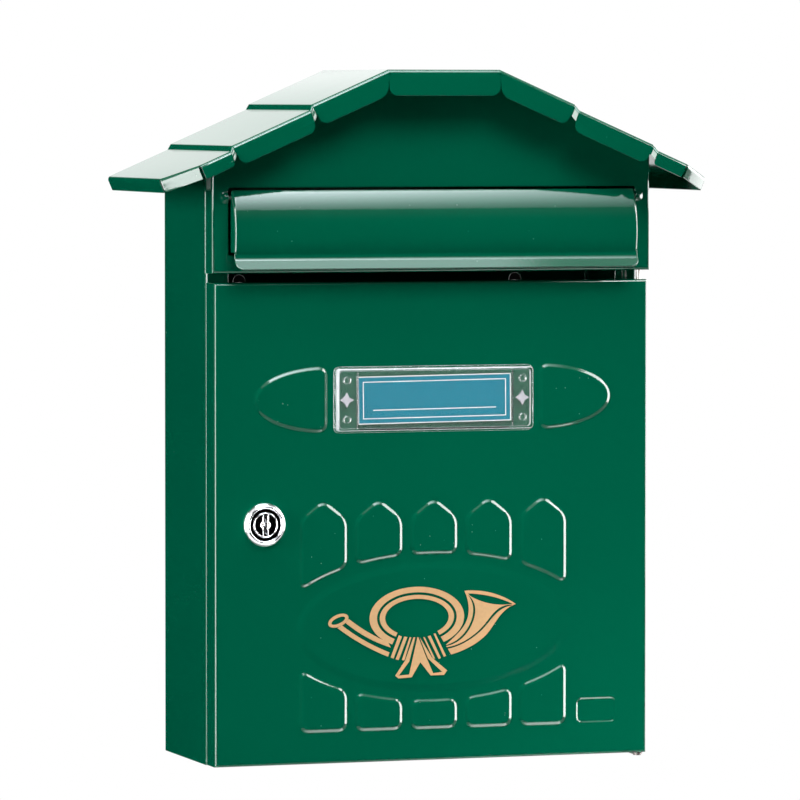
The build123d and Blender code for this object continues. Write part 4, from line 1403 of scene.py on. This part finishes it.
class MAILBOX_OT_name_holder(bpy.types.Operator):
    """Builds the clear name holder, its posts, rivets and card"""

    bl_idname = "mailbox.name_holder"
    bl_label = "Name Holder"

    def execute(self, context):
        self.cover()
        self.posts()
        self.card()
        base = copied(
            "name_base", "name_base_clear", clear_material(), "door", CLEAR_EDGE)
        see_through(base)
        for node in ("name_rivet_left", "name_rivet_right"):
            copied(node, node + "_star", star_material(), "door", RIVET_EDGE)
        return {"FINISHED"}

    def cover(self):
        """Hollow clear cover with a rounded front and a rib at each end of the card."""
        bm = bmesh.new()
        face = NAME_LOW.y
        size = (2 * NAME_HALF, NAME_TALL)
        outer = rounded_box((0, NAME_Z), size, NAME_CORNER, COVER_POINTS)
        rows = [at_depth(outer, FRONT)]
        for inset, out in COVER_FOOT_LINE:
            rows.append(at_depth(grown(outer, -inset * COVER_FOOT), FRONT - out * COVER_FOOT))
        for sine, lack in eased(COVER_ROUND_STEPS):
            inset = COVER_FOOT + COVER_ROUND * lack
            rows.append(at_depth(grown(outer, -inset), face + COVER_ROUND * (1 - sine)))
        made = grid(bm, rows, closed=True)
        bm.faces.new(made[-1])
        wall = COVER_FOOT + NAME_WALL
        inner_size = (size[0] - 2 * wall, size[1] - 2 * wall)
        inner = rounded_box((0, NAME_Z), inner_size, NAME_CORNER - NAME_WALL, COVER_POINTS)
        roof = face + NAME_WALL
        cavity = grid(bm, [at_depth(inner, FRONT), at_depth(inner, roof)], closed=True)
        bm.faces.new(cavity[-1])
        bridge(bm, made[0], cavity[0], closed=True)
        close_up(bm)
        # Walls and roundings, which face the front less than COVER_FACING, take the painted
        # highlight
        for f in bm.faces:
            f.material_index = int(abs(f.normal.y) < COVER_FACING)
        obj = piece("name_cover", bm, clear_material(), "door", ["name_window"])
        obj.data.materials.append(painted_glow_edge_material())
        solid_finish(obj, CLEAR_EDGE)
        see_through(obj)
        self.ribs(inner_size[1] / 2 - RIB_SHORT, roof)

    def ribs(self, tall, roof):
        """Upright ribs under the cover that keep the card in its middle."""
        bm = bmesh.new()
        for side in (-1, 1):
            x = side * (CARD_HIGH.x + RIB_GAP)
            outline = [(x - RIB_HALF, NAME_Z - tall), (x + RIB_HALF, NAME_Z - tall),
                       (x + RIB_HALF, NAME_Z + tall), (x - RIB_HALF, NAME_Z + tall)]
            made = grid(
                bm, [at_depth(outline, y) for y in (roof, FRONT - NAME_BASE)], closed=True)
            bm.faces.new(made[0])
            bm.faces.new(made[1])
        close_up(bm)
        obj = piece("name_ribs", bm, clear_material(), "door", [])
        solid_finish(obj, RIB_EDGE)
        see_through(obj)

    def posts(self):
        """Posts of the end pockets, set in place by a node tree."""
        base = bpy.data.objects.new("post_rows", bpy.data.meshes.new("post_rows"))
        bpy.context.scene.collection.objects.link(base)
        modifier = base.modifiers.new("Posts", "NODES")
        modifier.node_group = post_tree(clear_material())
        roof = NAME_LOW.y + NAME_WALL
        tall = FRONT - NAME_BASE - roof - POST_CLEARANCE
        values = {"Count": shape().holder_posts, "Height": tall}
        for item in modifier.node_group.interface.items_tree:
            if item.in_out == "INPUT" and item.name in values:
                modifier[item.identifier] = values[item.name]
        graph = bpy.context.evaluated_depsgraph_get()
        mesh = bpy.data.meshes.new_from_object(base.evaluated_get(graph))
        bpy.data.objects.remove(base)
        middle = roof + tall / 2 + POST_CLEARANCE / 2
        mesh.transform(Matrix.Translation((0, middle, NAME_Z)))
        bm = bmesh.new()
        bm.from_mesh(mesh)
        bpy.data.meshes.remove(mesh)
        obj = piece("name_posts", bm, clear_material(), "door", [])
        solid_finish(obj, CLEAR_EDGE, angle=50)
        see_through(obj)

    def card(self):
        """Blank card, laid in a little askew."""
        bm = bmesh.new()
        print_map = bm.loops.layers.uv.new("print")
        size = (2 * CARD_HALF_X, 2 * CARD_HALF_Z)
        outline = rounded_box((0, 0), size, CARD_CORNER, CARD_POINTS)
        cos, sin = math.cos(CARD_TILT), math.sin(CARD_TILT)
        askew = [(x * cos - z * sin, NAME_Z + x * sin + z * cos) for x, z in outline]
        made = grid(bm, [at_depth(askew, y) for y in (CARD_HIGH.y, CARD_LOW.y)], closed=True)
        bm.faces.new(made[0])
        bm.faces.new(made[1])
        close_up(bm)
        for f in bm.faces:
            for loop in f.loops:
                x, z = loop.vert.co.x, loop.vert.co.z - NAME_Z
                loop[print_map].uv = (x * cos + z * sin, z * cos - x * sin)
        obj = piece("blank_card", bm, card_material(), "door", ["name_card"])
        solid_finish(obj, CARD_EDGE)


def dress(node, material):
    """Gives a solid that stays a finish of its own."""
    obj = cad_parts[node]
    obj.data.materials.clear()
    obj.data.materials.append(material)


class MAILBOX_OT_horn(bpy.types.Operator):
    """Finishes the printed post horn"""

    bl_idname = "mailbox.horn"
    bl_label = "Post Horn"

    def execute(self, context):
        dress("horn_emblem", gold_material())
        return {"FINISHED"}


class MAILBOX_OT_lock(bpy.types.Operator):
    """Builds the lock's bezel and plug"""

    bl_idname = "mailbox.lock"
    bl_label = "Cam Lock"

    def execute(self, context):
        bm = bmesh.new()
        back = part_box("lock_housing")[1].y
        section = [(r * MM, back if out is None else FRONT - out * MM) for r, out in BEZEL]
        made = turned_section(bm, (LOCK_MIDDLE.x, LOCK_MIDDLE.z), section, BEZEL_POINTS)
        bridge(bm, made[-1], made[0], closed=True)
        close_up(bm)
        chrome = metal_material("chrome_plate")
        obj = piece("lock_bezel", bm, chrome, "door", ["lock_housing"])
        solid_finish(obj, BEZEL_EDGE, angle=60)
        self.face(chrome)
        return {"FINISHED"}

    def face(self, chrome):
        """Plug with its rim, two half-round bars, a split boss and the keyway between them."""
        bm = bmesh.new()
        middle = (LOCK_MIDDLE.x, LOCK_MIDDLE.z)
        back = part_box("lock_plug")[1].y
        outside = PLUG_RIM + PLUG_RIM_WIRE
        section = [(outside, back), (outside, PLUG_FLOOR)]
        for i in range(PLUG_RIM_STEPS + 1):
            angle = math.pi * i / PLUG_RIM_STEPS
            rise = PLUG_RIM_WIRE * math.sin(angle)
            section.append((
                PLUG_RIM + PLUG_RIM_WIRE * math.cos(angle), PLUG_FLOOR - PLUG_RIM_RISE - rise))
        section.append((PLUG_RIM - PLUG_RIM_WIRE, PLUG_FLOOR))
        made = turned_section(bm, middle, section, PLUG_POINTS)
        box = [(middle[0] + x * KEYWAY_HALF_X, PLUG_FLOOR, middle[1] + z * KEYWAY_HALF_Z)
               for x, z in ((1, 1), (-1, 1), (-1, -1), (1, -1))]
        mouth = row(bm, box)
        flat_fill(bm, made[-1], [mouth])
        end = row(bm, [(v.co.x, KEYWAY_END, v.co.z) for v in mouth])
        bridge(bm, mouth, end, closed=True)
        bm.faces.new(end)
        bm.faces.new(made[0])
        close_up(bm)
        obj = piece("lock_face", bm, chrome, "lock", ["lock_plug"])
        solid_finish(obj, PLUG_EDGE, angle=60)
        bm = bmesh.new()
        for side in (-1, 1):
            self.bar(bm, (middle[0] + side * BAR_X, middle[1]))
            self.boss(bm, middle, side)
        close_up(bm)
        piece("lock_bars", bm, metal_material("chrome_satin"), "lock", [])

    def bar(self, bm, middle):
        """Upright half-round bar beside the keyway."""
        foot = PLUG_FLOOR + BOSS_SINK
        arc = [math.pi * i / BAR_STEPS for i in range(BAR_STEPS + 1)]
        rows = []
        for end in (-1, 1):
            z = middle[1] + end * BAR_REACH
            rows.append([
                (middle[0] + BAR_WIRE * math.cos(a), foot - (BAR_WIRE + BAR_RISE) * math.sin(a), z)
                for a in arc
            ])
        made = grid(bm, rows)
        bridge(bm, [made[0][0], made[0][-1]], [made[1][0], made[1][-1]])
        for ends in made:
            bm.faces.new(ends)

    def boss(self, bm, middle, side):
        """One domed half of the boss, cut back at the keyway."""
        foot = PLUG_FLOOR + BOSS_SINK
        rows = []
        for k in range(BOSS_ROWS + 1):
            line = []
            for i in range(BOSS_STEPS + 1):
                z = math.cos(math.pi * i / BOSS_STEPS)
                x = math.sqrt(max(0.0, 1 - z * z))
                cut = self.cut_back((z + 1) / 2, side)
                px = cut + max(0.0, x * BOSS_RADIUS - cut) * (k / BOSS_ROWS)
                pz = z * BOSS_RADIUS
                distance = min(1.0, math.hypot(px, pz) / BOSS_RADIUS)
                y = foot - BOSS_RISE * math.sqrt(1 - distance ** 2)
                line.append((middle[0] + side * px, y, middle[1] + pz))
            rows.append(line)
        made = grid(bm, rows)
        base = row(bm, [(v.co.x, foot, v.co.z) for v in made[0]])
        bridge(bm, base, made[0])
        bridge(bm, base, made[-1])

    def cut_back(self, height, side):
        """How far a half of the boss is cut back, at a share of its height."""
        spot = height * (len(WAVE) - 1)
        low = int(min(spot, len(WAVE) - 2))
        depth = WAVE[low] + (WAVE[low + 1] - WAVE[low]) * (spot - low)
        if side > 0:
            return (WAVE_RIGHT + depth * WAVE_DEPTH) * MM
        return (WAVE_LEFT - depth * WAVE_DEPTH) * MM


class MAILBOX_OT_fittings(bpy.types.Operator):
    """Finishes the hidden fittings and the floor"""

    bl_idname = "mailbox.fittings"
    bl_label = "Fittings"

    def execute(self, context):
        for metal, nodes in (
                ("dark_wire", ("flap_rod",)),
                ("dark_zinc", ("lower_hinge_pin", "lower_hinge_bracket")),
                ("zinc_plate", ("upper_hinge_pin", "lock_washer", "lock_nut", "lock_cam",
                                "cam_washer", "cam_screw"))):
            for node in nodes:
                dress(node, metal_material(metal))
        dress("floor_tray", paint_material())
        return {"FINISHED"}


def soft_box(name, place, aim, size, radiance, fade, reach):
    """Rectangular studio lamp whose brightness changes from side to side and from foot to top.

    A lamp that reaches only gloss is a bright reflector. One that reaches only matt is a fill.
    """
    data = bpy.data.lights.new(name, "AREA")
    data.shape = "RECTANGLE"
    data.size, data.size_y = size
    data.energy = radiance * math.pi * size[0] * size[1]
    data.use_nodes = True
    tree = data.node_tree
    place_on = tree.nodes.new("ShaderNodeNewGeometry")
    axes = tree.nodes.new("ShaderNodeSeparateXYZ")
    tree.links.new(place_on.outputs["Parametric"], axes.inputs["Vector"])
    shares = []
    for axis, limits in zip("XY", fade):
        level = map_range(tree, axes.outputs[axis], wanted=limits)
        shares.append(math_node(tree, "MAXIMUM", level, 0.0))
    rise = math_node(tree, "POWER", shares[1], 2.0)
    strength = math_node(tree, "MULTIPLY", shares[0], rise)
    tree.links.new(strength, tree.nodes["Emission"].inputs["Strength"])
    lamp = bpy.data.objects.new(name, data)
    lamp.location = place
    lamp.rotation_mode = "QUATERNION"
    lamp.rotation_quaternion = (Vector(aim) - Vector(place)).to_track_quat("-Z", "Y")
    lamp.visible_diffuse = reach != "gloss"
    lamp.visible_glossy = lamp.visible_transmission = reach != "matt"
    bpy.context.scene.collection.objects.link(lamp)
    return lamp


def stage_piece(name, bm, material):
    """Object of the stage, which isn't part of the mailbox."""
    mesh = bpy.data.meshes.new(name)
    bm.to_mesh(mesh)
    bm.free()
    mesh.materials.append(material)
    obj = bpy.data.objects.new(name, mesh)
    bpy.context.scene.collection.objects.link(obj)


class MAILBOX_OT_stage(bpy.types.Operator):
    """Sets up the floor, lamps, backdrop and camera"""

    bl_idname = "mailbox.stage"
    bl_label = "Stage"

    def execute(self, context):
        scene = context.scene
        scene.view_settings.view_transform = "Standard"
        self.floor()
        self.flag()
        self.backdrop(scene)
        self.far_lamps()
        self.near_lamps()
        self.camera(scene)
        return {"FINISHED"}

    def far_lamps(self):
        """Lamps all round, each at an azimuth from the front and an elevation."""
        for name, azimuth, elevation, size, radiance, fade, reach in (
                ("top_box", 14.0, 48.0, (1.15, 0.74), 12.5, ((2.3, 0.1), (0.42, 1.3)), "gloss"),
                ("top_fill", 14.0, 48.0, (1.15, 0.74), 10.6, FLAT, "matt"),
                ("over_box", 0.0, 74.0, (1.2, 0.75), 14.0, (EVEN, (0.44, 1.15)), "gloss"),
                ("over_fill", 0.0, 80.0, (1.2, 0.55), 8.0, FLAT, "matt"),
                ("haze_box", 12.0, 25.0, (1.6, 0.5), 0.14, (EVEN, (0.0, 1.4)), "gloss"),
                ("left_box", -63.0, 5.0, (1.2, 1.9), 15.0, FLAT, "gloss"),
                ("left_top_box", -20.0, 42.0, (0.35, 0.4), 1.3, FLAT, "gloss"),
                ("left_fill", -80.0, 10.0, (0.8, 0.8), 12.5, FLAT, "matt"),
                ("right_box", 73.0, 6.0, (0.6, 1.4), 17.0, FLAT, "gloss"),
                ("right_top_box", 58.0, 31.0, (0.6, 0.45), 15.0, FLAT, "gloss"),
                ("right_rear_box", 112.0, 5.0, (0.7, 1.9), 10.0, (EVEN, (0.6, 1.2)), "gloss"),
                ("right_fill", 105.0, 15.0, (0.8, 0.8), 3.0, FLAT, "matt"),
                ("rear_fill", 160.0, 25.0, (1.2, 0.8), 3.0, FLAT, "matt"),
                ("rear_box", 169.0, 14.0, (0.75, 0.62), 0.38, FLAT, "gloss")):
            a, e = math.radians(azimuth), math.radians(elevation)
            way = Vector((math.sin(a) * math.cos(e), -math.cos(a) * math.cos(e), math.sin(e)))
            place = Vector(STAGE_MIDDLE) + way * LAMP_DISTANCE
            lamp = soft_box(name, place, STAGE_MIDDLE, size, radiance, fade, reach)
            if name in ("top_box", "over_box"):
                lamp.data.color = SKY_TINT

    def near_lamps(self):
        """Card below the front, and two narrow fills for the lower corner and the roof's edge."""
        soft_box(
            "low_card", Vector((0.15, FRONT - 0.37, BOTTOM - 0.57)), (0.15, FRONT - 0.1, BOTTOM),
            (0.8, 0.18), 5.0, ((0.1, 1.9), EVEN), "gloss")
        low_fill = soft_box(
            "low_fill", (0.36, FRONT - 0.5, BOTTOM - 0.2), (HALF - 0.02, FRONT, BOTTOM + 0.01),
            (0.12, 0.12), 3.6, FLAT, "matt")
        low_fill.data.spread = math.radians(44)
        eave_fill = soft_box(
            "eave_fill", (0.1, FRONT - 0.4, RIDGE_TOP + 0.42), (0.0, ROOF_FRONT, RIDGE_TOP - 0.03),
            (0.14, 0.14), 1.2, FLAT, "matt")
        eave_fill.data.spread = math.radians(50)

    def camera(self, scene):
        """Camera at the photograph's viewing angle."""
        data = bpy.data.cameras.new("photo_camera")
        data.lens = CAMERA_LENS
        data.sensor_width = CAMERA_SENSOR
        data.clip_end = CAMERA_REACH
        camera = bpy.data.objects.new("photo_camera", data)
        camera.location = CAMERA_PLACE
        camera.rotation_mode = "QUATERNION"
        aim = Vector(CAMERA_AIM).to_track_quat("-Z", "Y").to_matrix()
        camera.rotation_quaternion = (aim @ Matrix.Rotation(CAMERA_ROLL, 3, "Z")).to_quaternion()
        scene.collection.objects.link(camera)
        scene.camera = camera

    def floor(self):
        """Pale floor well below the box, which hangs on a wall. It fades into the backdrop."""
        bm = bmesh.new()
        rim = ellipse((0, 0), (FLOOR_REACH, FLOOR_REACH), FLOOR_POINTS)
        bm.faces.new(row(bm, [(x, y, BOTTOM - FLOOR_DROP) for x, y in rim]))
        face_out(bm, (0, 0, 1))
        material, tree, shader = new_material("pale_floor")
        mottle(tree, shader, 3.0, 2.0, (0.86, 0.86, 0.86), (0.9, 0.9, 0.9))
        shader.inputs["Roughness"].default_value = 0.8
        place = tree.nodes.new("ShaderNodeTexCoord")
        distance = tree.nodes.new("ShaderNodeVectorMath")
        distance.operation = "LENGTH"
        tree.links.new(place.outputs["Object"], distance.inputs[0])
        fade = map_range(tree, distance.outputs["Value"], FLOOR_FADE, smooth=True)
        path = tree.nodes.new("ShaderNodeLightPath")
        seen = math_node(tree, "MULTIPLY", fade, path.outputs["Is Camera Ray"])
        white = tree.nodes.new("ShaderNodeEmission")
        mix = tree.nodes.new("ShaderNodeMixShader")
        tree.links.new(seen, mix.inputs["Fac"])
        tree.links.new(shader.outputs["BSDF"], mix.inputs[1])
        tree.links.new(white.outputs["Emission"], mix.inputs[2])
        tree.links.new(mix.outputs["Shader"], tree.nodes["Material Output"].inputs["Surface"])
        stage_piece("pale_floor", bm, material)

    def flag(self):
        """Small near-black card far behind the box: painted shade seen through the wall holes,
        standing in for the shaded wall behind them.
        """
        bm = bmesh.new()
        eye = Vector(CAMERA_PLACE)
        way = (FLAG_BEHIND - eye.y) / -eye.y
        left, right = (eye + (Vector((x, 0.0, HOLE_Z)) - eye) * way for x in (-HOLE_X, HOLE_X))
        margin = FLAG_MARGIN * way
        x0, x1 = left.x - margin, right.x + margin
        corners = [(x0, -margin), (x1, -margin), (x1, margin), (x0, margin)]
        bm.faces.new(row(bm, [(x, FLAG_BEHIND, left.z + z) for x, z in corners]))
        face_out(bm, (0, -1, 0))
        material, tree, shader = new_material("painted_shade_matte")
        # Near-black colours of the painted shade
        mottle(tree, shader, 400.0, 2.0, (0.002, 0.002, 0.002), (0.006, 0.006, 0.006))
        shader.inputs["Roughness"].default_value = 0.9
        shader.inputs["Specular IOR Level"].default_value = 0.0
        stage_piece("painted_shade_card", bm, material)

    def backdrop(self, scene):
        """White to the camera and through glass, and to gloss beside and behind; dim elsewhere."""
        world = bpy.data.worlds.new("studio")
        scene.world = world
        world.use_nodes = True
        tree = world.node_tree
        ground = tree.nodes["Background"]
        path = tree.nodes.new("ShaderNodeLightPath")
        place = tree.nodes.new("ShaderNodeTexCoord")
        axes = tree.nodes.new("ShaderNodeSeparateXYZ")
        tree.links.new(place.outputs["Generated"], axes.inputs["Vector"])

        def ramp(axis, low, high):
            return map_range(tree, axes.outputs[axis], (low, high), smooth=True)

        beside = ramp("Y", -0.7, -0.45)
        rear_left = math_node(tree, "MULTIPLY", ramp("Y", 0.35, 0.55), ramp("X", 0.02, -0.1))
        open_sides = math_node(tree, "SUBTRACT", beside, rear_left, clamp=True)
        gloss = math_node(tree, "MULTIPLY", path.outputs["Is Glossy Ray"], open_sides)
        seen = math_node(
            tree, "MAXIMUM", path.outputs["Is Camera Ray"], path.outputs["Is Transmission Ray"])
        white = math_node(tree, "MAXIMUM", seen, gloss)
        dim = math_node(tree, "MULTIPLY", path.outputs["Is Diffuse Ray"], BACKDROP_DIM)
        level = math_node(tree, "MAXIMUM", white, dim)
        tree.links.new(level, ground.inputs["Strength"])
        ground.inputs["Color"].default_value = (1.0, 1.0, 1.0, 1.0)


class MAILBOX_PT_panel(bpy.types.Panel):
    """Lists the sizes, finishes and pieces"""

    bl_label = "Mailbox"
    bl_idname = "MAILBOX_PT_panel"
    bl_space_type = "VIEW_3D"
    bl_region_type = "UI"
    bl_category = "Mailbox"

    def draw(self, context):
        for title, group in (("Sizes", shape()), ("Finishes", look())):
            box = self.layout.box()
            box.label(text=title)
            for name in group.__annotations__:
                box.prop(group, name)
        for operator in OPERATORS:
            self.layout.operator(operator.bl_idname)


OPERATORS = (
    MAILBOX_OT_body, MAILBOX_OT_fascia, MAILBOX_OT_flap, MAILBOX_OT_roof, MAILBOX_OT_door,
    MAILBOX_OT_name_holder, MAILBOX_OT_horn, MAILBOX_OT_lock, MAILBOX_OT_fittings, MAILBOX_OT_stage,
)
CLASSES = (MailboxShape, MailboxLook, *OPERATORS, MAILBOX_PT_panel)


def register():
    for cls in CLASSES:
        bpy.utils.register_class(cls)
    bpy.types.Scene.mailbox_shape = PointerProperty(type=MailboxShape)
    bpy.types.Scene.mailbox_look = PointerProperty(type=MailboxLook)


def unregister():
    del bpy.types.Scene.mailbox_look
    del bpy.types.Scene.mailbox_shape
    for cls in reversed(CLASSES):
        bpy.utils.unregister_class(cls)


def main():
    """Builds every piece and the stage."""
    register()
    bpy.ops.mailbox.body()
    bpy.ops.mailbox.fascia()
    bpy.ops.mailbox.flap()
    bpy.ops.mailbox.roof()
    bpy.ops.mailbox.door()
    bpy.ops.mailbox.name_holder()
    bpy.ops.mailbox.horn()
    bpy.ops.mailbox.lock()
    bpy.ops.mailbox.fittings()
    bpy.ops.mailbox.stage()


if __name__ == "__main__":
    main()
